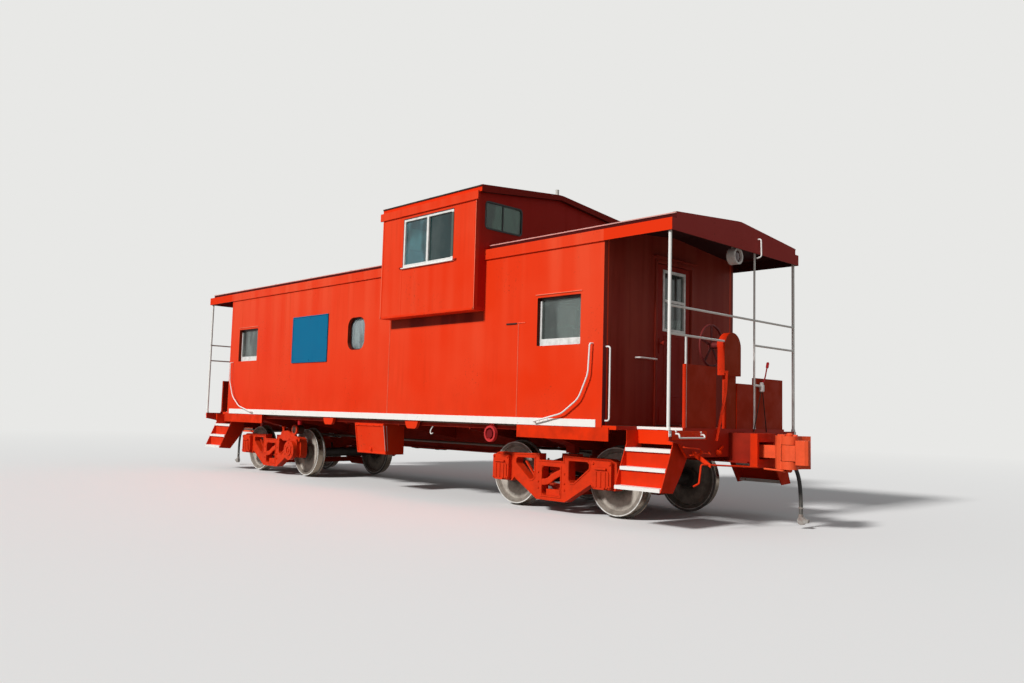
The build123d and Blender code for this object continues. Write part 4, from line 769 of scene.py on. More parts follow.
# Each key is a finish of the car; the record's slot of the same name takes it, and others are named for
# their use
FINISHES: dict[str, Any] = {
    "body_paint": SheetEnamel(
        "enamelled_sheet_sprayed_orange", ORANGE, FADED_ORANGE, "#A8301C",
        zones=(UNDER_BAY_SHADE, END_REVEAL, OVAL_REVEAL, CORNER_EDGE_SHADE), lining=(BODY_ROOM,), splash_z=1.19,
        reflection_banding=0.4, paler_upward_z=(1.4, 3.4)),
    "cupola_paint": SheetEnamel(
        "enamelled_sheet_sprayed_orange_cupola", ORANGE, FADED_ORANGE, "#A8301C",
        zones=(CUPOLA_EDGE_SHADE, BAY_REVEAL), lining=(CUPOLA_ROOM,), reflection_banding=0.25),
    # The ends of the cupola and of the body, and the doors in them, are the sides' orange made darker as
    # painted shade, over real dust and dirt
    "cupola_end_paint": SheetEnamel(
        "enamelled_sheet_sprayed_orange_cupola_ends", "#AC1E14", "#B03A26", "#6A1C12", lining=(CUPOLA_ROOM,)),
    "end_paint": SheetEnamel(
        "enamelled_sheet_sooty_maroon", "#8E2415", "#A84A3A", "#4A100C", lining=(BODY_ROOM,), reflection_banding=0.4,
        fading=0.5, dirtiness=0.4),
    "door_paint": SheetEnamel(
        "enamelled_door_sheet_sooty_maroon", "#9A2418", "#A83E30", "#4A1410", dirtiness=0.4, patch=0.5),
    "trim_paint": SheetEnamel(
        "enamelled_sheet_trim_orange", ORANGE, FADED_ORANGE, "#8E2A1A", zones=(RING_RIM_HIGHLIGHT, RING_MIDDLE),
        patch=0.5),
    # Pale paint on the welds, drip strips and cupola corner beads: a painted highlight along each bead
    "seam_paint": SheetEnamel(
        "enamelled_weld_bead_rubbed_pale", "#EE7656", "#F4A08A", "#D04A2C", patch=0.3, buckle=0.0005),
    "white_paint": SheetEnamel(
        "enamelled_steel_brushed_white", "#EFECE6", "#F6F4EF", "#9A8677", dirtiness=0.15, rust=0.75,
        buckle=0.001, patch=0.4),
    "plate_paint": SheetEnamel(
        "enamelled_plate_rolled_blue", "#00648A", "#1C7698", "#0A4866", patch=0.5, rust=0.15, buckle=0.001),
    "roof_paint": ROOF_BITUMEN,
    "cupola_roof_paint": replace(
        ROOF_BITUMEN, name="bitumen_paint_brushed_on_cupola_roof", zones=(CUPOLA_EAVE, CUPOLA_GABLE_SHADE, VENT),
        lining=(CUPOLA_CEILING,)),
    # Pale paint on the roof's eave beads, the rail panels' edges and the tool box's folds: a painted
    # highlight along each edge
    "eave_paint": SheetEnamel(
        "enamelled_drip_bead_rubbed_pale", "#D89A90", "#E8C0B8", "#8A3A30", buckle=0.0005, patch=0.3),
    # The underframe's maroon is the orange darkened as painted shade under the floor, with real track dirt;
    # its skirts and striker keep the orange
    "frame_paint": SheetEnamel(
        "enamelled_rolled_sections_maroon", "#A02414", "#B03A24", "#4A1D14", weathering=Weathering.UNDER,
        zones=(SKIRT, STRIKER), dirtiness=0.3, buckle=0.002, patch=0.6),
    "platform_paint": SheetEnamel(
        "enamelled_chequer_plate_maroon", "#B02A1A", "#C0442E", "#5A2418", weathering=Weathering.LEVEL,
        zones=(DECK_EDGE,), dirtiness=0.6, buckle=0.002, lozenges=True, patch=0.5),
    "step_paint": STEP_ENAMEL,
    "column_paint": replace(STEP_ENAMEL, name="enamelled_brake_housing_sooty_orange", zones=(COLUMN_FACE_SHADE,)),
    "panel_paint": replace(STEP_ENAMEL, name="enamelled_sheet_panels_sooty_orange", zones=(PANEL_FACE_SHADE,)),
    "dark_paint": SheetEnamel(
        "bitumen_paint_brushed_on_steel", "#2E2422", "#453632", "#5D4A3E", weathering=Weathering.UNDER,
        roughness=0.6, dirtiness=0.6, buckle=0.001, patch=0.4),
    "lamp_metal": SheetEnamel(
        "enamelled_spun_steel_grey", "#E8E2DC", "#F0ECE6", "#8A7A70", patch=0.1, buckle=0.0005, rust=0.3),
    "red_paint": SheetEnamel(
        "enamelled_forging_signal_red", "#C81E24", "#D8484A", "#5A1414", patch=0.1, buckle=0.0005),
    "truck_paint": PaintedCasting("enamelled_steel_casting_orange", "#DC3610"),
    "coupler_iron": PaintedCasting("enamelled_coupler_casting_orange", "#F05A32", dirtiness=0.3, wear=0.6),
    "spring_steel": PaintedCasting("enamelled_leaf_spring_steel", "#C43A20", dirtiness=0.6, wear=0.7),
    # The pale pink chips along the hand wheel's edges are partly real wear and partly a painted highlight on
    # its rim
    "hand_wheel_paint": PaintedCasting(
        "enamelled_malleable_hand_wheel_maroon", "#762C2A", dirt="#2A1414", chipped="#C0827A", wear=0.8),
    "brake_iron": PaintedCasting(
        "rusty_brake_casting", "#5A4038", dirt="#2A201B", chipped="#7D5A48", roughness=0.65),
    "window_aluminium": Extrusion(
        "white_enamelled_aluminium_extrusion", zones=(OVAL_FRAME, SQUARE_HEAD, BAY_RAIL_SHADE, BAY_END, BAY_HEAD)),
    "gasket_rubber": MouldedRubber("moulded_rubber_glazing_strip"),
    "hose_rubber": MouldedRubber("wrapped_rubber_brake_hose", dust_from_z=0.42, dust_full_z=0.3),
    "glass": Glazing("tinted_float_glass", "#A2B0AA", zones=(OVAL_PANE_REFLECTION, END_PANES, LIGHT_PANE_REFLECTION, DARK_PANE_REFLECTION)),
    "lamp_glass": Glazing("pressed_lens_glass_red", "#5A0A0C", dust="#6A2A28", clear=0.35, film=0.3),
    "floor_wood": SawnBoards("sawn_oak_floor_boards", "#6E5A45", "#7E6A52", 0.14),
    "deck_panel": SawnBoards("painted_plywood_deck", "#8A7A62", "#93846C", 0.6),
    "seat_cover": CoatedFabric("vinyl_coated_seat_cloth"),
    "pipe_steel": BareSteel("drawn_steel_pipe", "#4E403A"),
    "coupling_iron": BareSteel("galvanised_hose_coupling", "#A5A29C", rustiness=0.5, metallic=0.5),
}

# CAD nodes whose finish isn't that of their slot
NODE_FINISH: dict[str, str] = {
    "cupola_sides": "cupola_paint", "cupola_ends": "cupola_end_paint", "door_a": "door_paint",
    "door_b": "door_paint", "platforms": "platform_paint", "steps": "step_paint",
    "rail_panels": "panel_paint", "brake_column": "column_paint", "brake_wheel": "hand_wheel_paint",
    "brake_beams_a": "brake_iron", "brake_beams_b": "brake_iron", "hose_coupling_a": "coupling_iron",
    "hose_coupling_b": "coupling_iron",
    "sill_lugs": "trim_paint", "tool_box": "trim_paint", "cupola_roof": "cupola_roof_paint",
    "uncoupling_levers": "trim_paint",
}


@dataclass
class Paintshop:
    """Makes every finish once and puts it on the CAD nodes and the new pieces."""

    frame: dict[str, Any]
    made: dict[str, bpy.types.Material] = field(default_factory=dict)

    def finish(self, key: str) -> bpy.types.Material:
        """Give the material of a finish, made when it is first asked for.

        Args:
            key: the finish's name in FINISHES.

        Returns:
            The material.
        """
        if key not in self.made:
            self.made[key] = FINISHES[key].material()
        return self.made[key]

    def paint(self, obj: bpy.types.Object, material: bpy.types.Material) -> None:
        """Put one material on every slot of an object.

        Args:
            obj: the piece or node.
            material: what it wears.
        """
        if not obj.material_slots:
            obj.data.materials.append(material)
        for slot in obj.material_slots:
            slot.material = material

    def dress_nodes(self) -> None:
        """Dress every CAD node in the finish of its slot, or in its own where it has one."""
        slots = {part["node"]: part["material_slot"] for part in self.frame["record"]["subparts"]}
        for name, obj in self.frame["nodes"].items():
            if name.startswith("wheelset_"):
                low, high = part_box(name)
                material = WheelSteel(f"turned_wheel_steel_{name[-1]}", (low.x + high.x) / 2).material()
            else:
                material = self.finish(NODE_FINISH.get(name, slots[name]))
            self.paint(obj, material)
        log.info("dressed %d CAD nodes", len(self.frame["nodes"]))


def unit(vectors: np.ndarray) -> np.ndarray:
    """Scale vectors to length 1."""
    return vectors / np.linalg.norm(vectors, axis=-1, keepdims=True)


def oval(width: float, height: float, sides: int = 16, squareness: float = 1.0) -> np.ndarray:
    """Give a closed profile: half the width times cos a and half the height times sin a, each to a power.

    Args:
        width: size across.
        height: size up.
        sides: number of points.
        squareness: 1 is an ellipse, 0.2 nearly a rectangle with small round corners.

    Returns:
        Points in the profile's plane, one row each.
    """
    a = (np.arange(sides) + 0.5) * 2 * np.pi / sides
    c, s = np.cos(a), np.sin(a)
    return np.stack([width / 2 * np.sign(c) * np.abs(c) ** squareness,
                     height / 2 * np.sign(s) * np.abs(s) ** squareness], 1)


def moved(points: Route | Place, x: float) -> np.ndarray:
    """Move a point or a route by x along the car."""
    return np.array(points, float) + (x, 0.0, 0.0)


def bent(corners: Route, reach: float, steps: int = 7) -> np.ndarray:
    """Round a run of corners: near each the point is (1-t)^2 start + 2t(1-t) corner + t^2 end.

    Args:
        corners: the run's points, its two ends included.
        reach: how far from a corner its bend starts.
        steps: points in each bend.

    Returns:
        The path's points.
    """
    p = np.array(corners, float)
    here, back, ahead = p[1:-1], p[:-2] - p[1:-1], p[2:] - p[1:-1]
    start = here + unit(back) * np.minimum(reach, 0.45 * np.linalg.norm(back, axis=1))[:, None]
    end = here + unit(ahead) * np.minimum(reach, 0.45 * np.linalg.norm(ahead, axis=1))[:, None]
    t = np.linspace(0, 1, steps)[None, :, None]
    arcs = (1 - t) ** 2 * start[:, None] + 2 * t * (1 - t) * here[:, None] + t ** 2 * end[:, None]
    return np.concatenate([p[:1], arcs.reshape(-1, 3), p[-1:]])


def carried(profile: np.ndarray, path: np.ndarray, up: Point = UP) -> np.ndarray:
    """Carry a profile along a path: each ring is the path point plus the profile's first number times the
    sideways direction (tangent x up) plus its second times the direction square to both.

    Args:
        profile: closed profile, one point a row.
        path: the points to follow.
        up: a direction that the path never takes.

    Returns:
        A grid of rings along the path by points round the profile.
    """
    tangent = unit(np.gradient(path, axis=0))
    side = unit(np.cross(tangent, np.array(up)))
    rise = np.cross(side, tangent)
    return (path[:, None] + profile[None, :, :1] * side[:, None] + profile[None, :, 1:] * rise[:, None])


def bar(path: Route, across: float, sides: int, up: Point = UP) -> np.ndarray:
    """Give a round bar of one diameter along a path, its profile a ring of so many sides."""
    return carried(oval(across, across, sides), path, up)


def turned(profile: Pairs, centre: Place, axis: Point, sides: int = 24) -> np.ndarray:
    """Turn a profile about an axis: ring i lies height i along it, with radius i at angles 2 pi j / sides.

    Args:
        profile: pairs of radius and height.
        centre: where height 0 is.
        axis: direction of the axis.
        sides: points round the axis.

    Returns:
        A grid of rings by points round them.
    """
    along = unit(np.array(axis, float))
    first = unit(np.cross(along, (0.31, 0.95, 0.12)))
    second = np.cross(along, first)
    a = np.arange(sides) * 2 * np.pi / sides
    ring = np.cos(a)[:, None] * first + np.sin(a)[:, None] * second
    p = np.array(profile, float)
    return np.array(centre) + p[:, :1, None] * ring[None] + p[:, 1:, None] * along


def strip(a: Place, b: Place, width: float, height: float, up: Point = UP,
          squareness: float = 0.25) -> np.ndarray:
    """Give a straight bar from a to b with rounded corners, width sideways and height towards up."""
    return carried(oval(width, height, 16, squareness), np.linspace(a, b, 3), up)


@dataclass
class Shell:
    """Gathers grids of points into one mesh of closed surfaces."""

    points: list[np.ndarray] = field(default_factory=list)
    faces: list[list[int]] = field(default_factory=list)
    count: int = 0

    def add(self, grid: np.ndarray, loop: bool = False) -> "Shell":
        """Add rings of points, joined ring to ring.

        Args:
            grid: rings by points round them.
            loop: joins the last ring to the first, where otherwise a face closes each end.

        Returns:
            The shell itself.
        """
        rings, round_ = grid.shape[:2]
        i = np.arange(rings if loop else rings - 1)[:, None]
        j = np.arange(round_)[None]
        near, far, after = i * round_, (i + 1) % rings * round_, (j + 1) % round_
        quads = np.stack([near + j, near + after, far + after, far + j], -1).reshape(-1, 4) + self.count
        self.faces += quads.tolist()
        if not loop:
            self.faces.append((self.count + np.arange(round_)[::-1]).tolist())
            self.faces.append((self.count + (rings - 1) * round_ + np.arange(round_)).tolist())
        self.points.append(grid.reshape(-1, 3))
        self.count += rings * round_
        return self

    def bolts(self, centres: Route, axis: Point, radius: float = 0.014, height: float = 0.011) -> "Shell":
        """Add six-sided bolt heads whose tops are chamfered by a quarter of their height.

        Args:
            centres: where the heads sit.
            axis: the way that they stand up.
            radius: from the middle to a corner.
            height: from the seat to the top.

        Returns:
            The shell itself.
        """
        profile = [(radius, -SUNK), (radius, height * 0.75), (radius * 0.8, height)]
        for centre in centres:
            self.add(turned(profile, centre, axis, 6))
        return self

    def copy_turned(self, side: int) -> "Shell":
        """Turn everything half round the upright axis for side -1, and leave it for side 1."""
        self.points = [p * np.array([side, side, 1]) for p in self.points]
        return self

    def both_sides(self) -> "Shell":
        """Add the mirror image of everything on the other side of the car.

        Returns:
            The shell itself.
        """
        added = [p * np.array([1, -1, 1]) for p in self.points]
        self.faces += [[corner + self.count for corner in reversed(face)] for face in self.faces]
        self.points += added
        self.count *= 2
        return self


@dataclass
class Assembly:
    """One group of the car's pieces, with the paintshop that dresses them."""

    shop: Paintshop

    def fit(self, shell: Shell, name: str, finish: str, slot: str, body: str = "car",
            sharp: float = 40.0) -> bpy.types.Object:
        """Make a shell's object, with its faces pointing outwards, and put it on its body.

        Args:
            shell: the piece's points and faces.
            name: the piece's name.
            finish: key of the finish.
            slot: the record's material slot; not used.
            body: the CAD body that it rides on.
            sharp: edges that turn more than this many degrees stay sharp.

        Returns:
            The finished object.
        """
        mesh = bpy.data.meshes.new(name)
        mesh.from_pydata(np.concatenate(shell.points).tolist(), [], shell.faces)
        work = bmesh.new()
        work.from_mesh(mesh)
        bmesh.ops.remove_doubles(work, verts=work.verts, dist=1e-6)
        bmesh.ops.recalc_face_normals(work, faces=work.faces)
        work.to_mesh(mesh)
        work.free()
        mesh.shade_smooth()
        mesh.set_sharp_from_angle(angle=math.radians(sharp))
        obj = bpy.data.objects.new(name, mesh)
        bpy.context.scene.collection.objects.link(obj)
        self.shop.paint(obj, self.shop.finish(finish))
        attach(obj, body)
        log.info("%s on %s: %d faces", name, body, len(mesh.polygons))
        return obj


@dataclass
class EndAssembly(Assembly):
    """A group that both ends of the car have, drawn for end A and turned half round for end B."""

    end: str
    side: int

    def fit_end(self, shell: Shell, name: str, finish: str, slot: str, carrier: str = "") -> None:
        """Turn a shell to its end and fit it, with the end's letter in its name and in its carrier's."""
        body = f"{carrier}_{self.end}" if carrier else "car"
        self.fit(shell.copy_turned(self.side), f"{name}_{self.end}", finish, slot, body)


@dataclass
class Studio:
    """Camera at the photograph's place, one low soft key light, an even sky and a pale floor."""

    camera_place: Point = (11.0146, -9.0109, 1.2231)
    heading: float = 45.8386
    tilt: float = 4.9077
    roll: float = 1.5333
    focal_pixels: float = 849.9092
    image_width: float = 1024.0
    sensor: float = 36.0
    far_clip: float = 500.0
    key_direction: Point = (0.025, 0.83, -0.55)
    key_strength: float = 3.1
    key_spread: float = 8.0
    sky_strength: float = 0.27
    sky_colour: tuple[float, float, float, float] = (0.94, 0.97, 1.0, 1.0)
    backdrop: str = "#E8E8E6"
    floor_colour: str = "#F4F3F1"
    floor_bounce: str = "#8E8A84"
    floor_half: float = 90.0
    fade_from: float = 7.0
    fade_to: float = 30.0

    def build(self) -> None:
        """Make the camera, the lights, the sky and the floor."""
        self.build_camera()
        self.build_light()
        self.build_sky()
        self.build_floor()
        log.info("studio ready")

    def seen(self, tree: bpy.types.NodeTree) -> Socket:
        """Give the mask of rays that show the background: the camera's, those of gloss and through glass.

        Args:
            tree: the node tree that takes the mask's nodes.

        Returns:
            The mask's socket.
        """
        rays = add_node(tree, "ShaderNodeLightPath").outputs
        either = add_node(tree, "ShaderNodeMath", {"operation": "MAXIMUM"}, {
            0: rays["Is Camera Ray"], 1: rays["Is Glossy Ray"]}).outputs[0]
        return add_node(tree, "ShaderNodeMath", {"operation": "MAXIMUM"}, {
            0: either, 1: rays["Is Transmission Ray"]}).outputs[0]

    def build_camera(self) -> None:
        """Turn the camera by its heading, tilt and roll, azimuth 0 looking along +Y."""
        a, e, t = (math.radians(v) for v in (self.heading, self.tilt, self.roll))
        ahead = Vector((-math.sin(a) * math.cos(e), math.cos(a) * math.cos(e), math.sin(e)))
        right = ahead.cross(Vector(UP)).normalized()
        above = right.cross(ahead)
        rolled_right = math.cos(t) * right + math.sin(t) * above
        rolled_up = -math.sin(t) * right + math.cos(t) * above
        data = bpy.data.cameras.new("camera")
        data.sensor_width = self.sensor
        data.lens = self.focal_pixels / self.image_width * self.sensor
        data.clip_end = self.far_clip
        camera = bpy.data.objects.new("camera", data)
        camera.matrix_world = Matrix.Translation(self.camera_place) @ Matrix(
            (rolled_right, rolled_up, -ahead)).transposed().to_4x4()
        bpy.context.scene.collection.objects.link(camera)
        bpy.context.scene.camera = camera

    def build_light(self) -> None:
        """Set the soft key light, from the -Y side and a third of the way up."""
        data = bpy.data.lights.new("key", "SUN")
        data.energy = self.key_strength
        data.angle = math.radians(self.key_spread)
        key = bpy.data.objects.new("key", data)
        key.rotation_euler = Vector(self.key_direction).to_track_quat("-Z", "Y").to_euler()
        bpy.context.scene.collection.objects.link(key)

    def build_sky(self) -> None:
        """Light evenly from all round, and show the pale backdrop to the camera, in gloss and in glass."""
        world = bpy.data.worlds.new("sky")
        bpy.context.scene.world = world
        world.use_nodes = True
        tree = world.node_tree
        tree.nodes.clear()
        seen = self.seen(tree)
        light = add_node(tree, "ShaderNodeBackground", None, {
            "Color": self.sky_colour, "Strength": self.sky_strength})
        shown = add_node(tree, "ShaderNodeBackground", None, {
            "Color": linear(self.backdrop), "Strength": 1.0})
        mixed = add_node(tree, "ShaderNodeMixShader", None, {
            0: seen, 1: light.outputs[0], 2: shown.outputs[0]})
        add_node(tree, "ShaderNodeOutputWorld", None, {"Surface": mixed.outputs[0]})

    def build_floor(self) -> None:
        """Lay a level floor, pale where it is seen and darker to bounced light, that fades far off."""
        h = self.floor_half
        mesh = bpy.data.meshes.new("floor_plane")
        mesh.from_pydata([(-h, -h, 0), (h, -h, 0), (h, h, 0), (-h, h, 0)], [], [(0, 1, 2, 3)])
        floor = bpy.data.objects.new("studio_floor", mesh)
        bpy.context.scene.collection.objects.link(floor)
        r = Recipe("rolled_floor_paint")
        distance = add_node(r.tree, "ShaderNodeVectorMath", {"operation": "LENGTH"}, {0: r.place})
        seen = self.seen(r.tree)
        shade = r.over(self.floor_bounce, self.floor_colour, seen)
        near = add_node(r.tree, "ShaderNodeBsdfDiffuse", None, {"Color": shade})
        far = add_node(r.tree, "ShaderNodeEmission", None, {"Color": linear(self.backdrop), "Strength": 1.0})
        fading = r.between(distance.outputs["Value"], self.fade_from, self.fade_to)
        mixed = add_node(r.tree, "ShaderNodeMixShader", None, {
            0: r.times(fading, seen), 1: near.outputs[0], 2: far.outputs[0]})
        add_node(r.tree, "ShaderNodeOutputMaterial", None, {"Surface": mixed.outputs[0]})
        mesh.materials.append(r.material)


@dataclass
class AirHose(EndAssembly):
    """The brake hose of one end, hanging from the angle cock to its coupling."""

    # The route's points in part.py, for end A, in metres
    route: Route = (
        (6.16, 0.35, 0.72), (6.2, 0.35, 0.64), (6.226, 0.35, 0.53), (6.238, 0.35, 0.4),
        (6.242, 0.35, 0.27), (6.24, 0.35, 0.165))
    diameter: float = 0.046
    length: float = 0.568
    # Band clamps: place as a share of the line, width, wall, and how far their ends are rounded off
    clamp_shares: Pair = (0.06, 0.92)
    clamp_width: float = 0.018
    clamp_wall: float = 0.005
    clamp_sections: tuple[float, ...] = (-0.5, -0.35, 0.35, 0.5)
    clamp_end: float = 0.93

    def build(self) -> None:
        points = [(x * self.side, y * self.side, z) for x, y, z in self.route]
        hose, line = self.lay(points)
        self.shop.paint(hose, self.shop.finish("hose_rubber"))
        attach(hose, "car")
        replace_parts(hose, f"air_hose_{self.end}")
        clamp = self.fit(self.clamp(line), f"hose_clamps_{self.end}", "coupling_iron", "pipe_steel")
        log.info("brake_hose_%s declared", self.end)

    def lay(self, points: list[Point]) -> tuple[bpy.types.Object, np.ndarray]:
        """Lay a round bar along a spline through the route.

        Args:
            points: the route, from the cock to the coupling.

        Returns:
            The curve object and the points of its centre line.
        """
        data = bpy.data.curves.new(f"brake_hose_{self.end}", "CURVE")
        data.dimensions = "3D"
        spline = data.splines.new("NURBS")
        spline.points.add(len(points) - 1)
        for place, point in zip(spline.points, points):
            place.co = (*point, 1.0)
        spline.order_u = 3
        spline.use_endpoint_u = True
        data.resolution_u = 16
        hose = bpy.data.objects.new(f"brake_hose_{self.end}", data)
        bpy.context.scene.collection.objects.link(hose)
        thin = bpy.data.meshes.new_from_object(hose)
        line = np.array([v.co for v in thin.vertices])
        bpy.data.meshes.remove(thin)
        data.bevel_depth = self.diameter / 2
        data.bevel_resolution = 8
        data.use_fill_caps = True
        return hose, line

    def clamp(self, line: np.ndarray) -> Shell:
        """Give the band clamps: a round band carried along the line, smaller at its two ends.

        Args:
            line: points of the hose's centre line.

        Returns:
            The clamps' shell.
        """
        clamps = Shell()
        across = self.diameter + 2 * self.clamp_wall
        for share in self.clamp_shares:
            here = int(share * (len(line) - 1))
            ahead = unit(line[here + 1] - line[here])
            rings = np.array(self.clamp_sections)[:, None] * self.clamp_width * ahead + line[here]
            grid = bar(rings, across, 24, ACROSS)
            ends = rings[[0, -1], None]
            grid[[0, -1]] = ends + (grid[[0, -1]] - ends) * self.clamp_end
            clamps.add(grid)
        return clamps


@dataclass
class CarSides(Assembly):
    """What stands proud of the side sheets: weld seams, drip strips and the border of the plate."""

    wall_y: float = 1.407
    # Upright weld seams: place along the car, from and to height
    seams: Route = ((0.53, 1.191, 2.59), (3.3, 1.191, 2.385))
    # The level weld seam, the dark slot cover in line with it and the drip strips over the end windows:
    # from and to along the car, height
    level_seam: Point = (3.28, 3.42, 2.392)
    slot: Point = (3.08, 3.27, 2.388)
    drips: Route = ((3.6, 4.37, 2.725), (-4.37, -3.6, 2.74))
    # Sections, as width outwards and height, and how far the middle of a strip stands off the sheet
    slot_size: Pair = (0.012, 0.02)
    drip_size: Pair = (0.014, 0.01)
    standoff: float = 0.004
    # A weld bead, and the share and turn by which its size ripples from one ring to the next
    bead: float = 0.009
    ripple: float = 0.15
    ripple_turn: float = 1.9
    plate_middle: Pair = (-1.765, 2.415)
    plate_size: Pair = (1.13, 0.8)
    plate_face_y: float = -1.419
    plate_edge: float = 0.014
    screw_inset: float = 0.045
    screw_size: Pair = (0.011, 0.007)

    def build(self) -> None:
        """Build the seams and strips on both sides and the plate's border on its own side."""
        seams, drips, slot = Shell(), Shell(), Shell()
        for x, low, high in self.seams:
            seams.add(self.weld((x, -self.wall_y, low), (x, -self.wall_y, high), 60, ALONG))
        start, end, z = self.level_seam
        seams.add(self.weld((start, -self.wall_y, z), (end, -self.wall_y, z), 14, UP))
        # The welds wear the pale paint of a painted highlight along each bead
        self.fit(seams.both_sides(), "side_seam_welds", "seam_paint", "body_paint")
        # The drip strips wear it too, as a painted highlight
        for run in self.drips:
            drips.add(self.level_strip(run, self.drip_size))
        self.fit(drips.both_sides(), "window_drip_strips", "seam_paint", "body_paint")
        slot.add(self.level_strip(self.slot, self.slot_size))
        self.fit(slot.both_sides(), "side_slot_covers", "dark_paint", "body_paint")
        self.build_plate()

    def level_strip(self, run: Point, size: Pair) -> np.ndarray:
        """Give a level strip on the near side, from run's first place along the car to its second."""
        (start, end, z), y = run, -self.wall_y - self.standoff
        return strip((start, y, z), (end, y, z), *size)

    def weld(self, start: Point, end: Point, rings: int, up: Point) -> np.ndarray:
        """Give a weld bead: an oval carried along the seam, its size times 1 + ripple * sin(ring * turn).

        Args:
            start: one end of the seam.
            end: the other.
            rings: number of sections.
            up: a direction that the seam doesn't take.

        Returns:
            The bead's rings.
        """
        path = np.linspace(start, end, rings)
        grid = carried(oval(2 * self.bead, self.bead, 8), path, up)
        swell = 1 + self.ripple * np.sin(np.arange(rings) * self.ripple_turn)
        return path[:, None] + (grid - path[:, None]) * swell[:, None, None]

    def build_plate(self) -> None:
        """Build the folded border of the blank plate and its screws."""
        (x, z), (width, height) = self.plate_middle, self.plate_size
        y, edge = self.plate_face_y, self.plate_edge
        left, right = x - width / 2 + edge / 2, x + width / 2 - edge / 2
        low, high = z - height / 2 + edge / 2, z + height / 2 - edge / 2
        border = Shell()
        for a, b in (((left, low), (right, low)), ((left, high), (right, high)),
                     ((left, low), (left, high)), ((right, low), (right, high))):
            border.add(strip((a[0], y, a[1]), (b[0], y, b[1]), edge, edge, ACROSS))
        self.fit(border, "plate_border", "plate_paint", "plate_paint")
        out, rise = width / 2 - self.screw_inset, height / 2 - self.screw_inset
        places = [(x + u * out, y, z + v * rise) for u in (-1, 0, 1) for v in (-1, 1)]
        places += [(x + u * out, y, z) for u in (-1, 1)]
        screws = Shell().bolts(places, NEAR, *self.screw_size)
        self.fit(screws, "plate_screws", "plate_paint", "plate_paint")


def roof_strap(x: float, eave: Pair, ridge_z: float, inset: Pair, width: float) -> np.ndarray:
    """Give a flat strap over a joint of roof sheets: a flattened oval carried from eave over ridge to eave.

    Args:
        x: place along the car.
        eave: distance from the middle and height of the roof's edge.
        ridge_z: height of the ridge.
        inset: how far the strap's end lies inside the edge and above it.
        width: the strap's width.

    Returns:
        The strap's rings.
    """
    y, z = eave[0] - inset[0], eave[1] + inset[1]
    return carried(oval(width, 0.012, 12, 0.3), bent([(x, -y, z), (x, 0, ridge_z), (x, y, z)], 0.08))


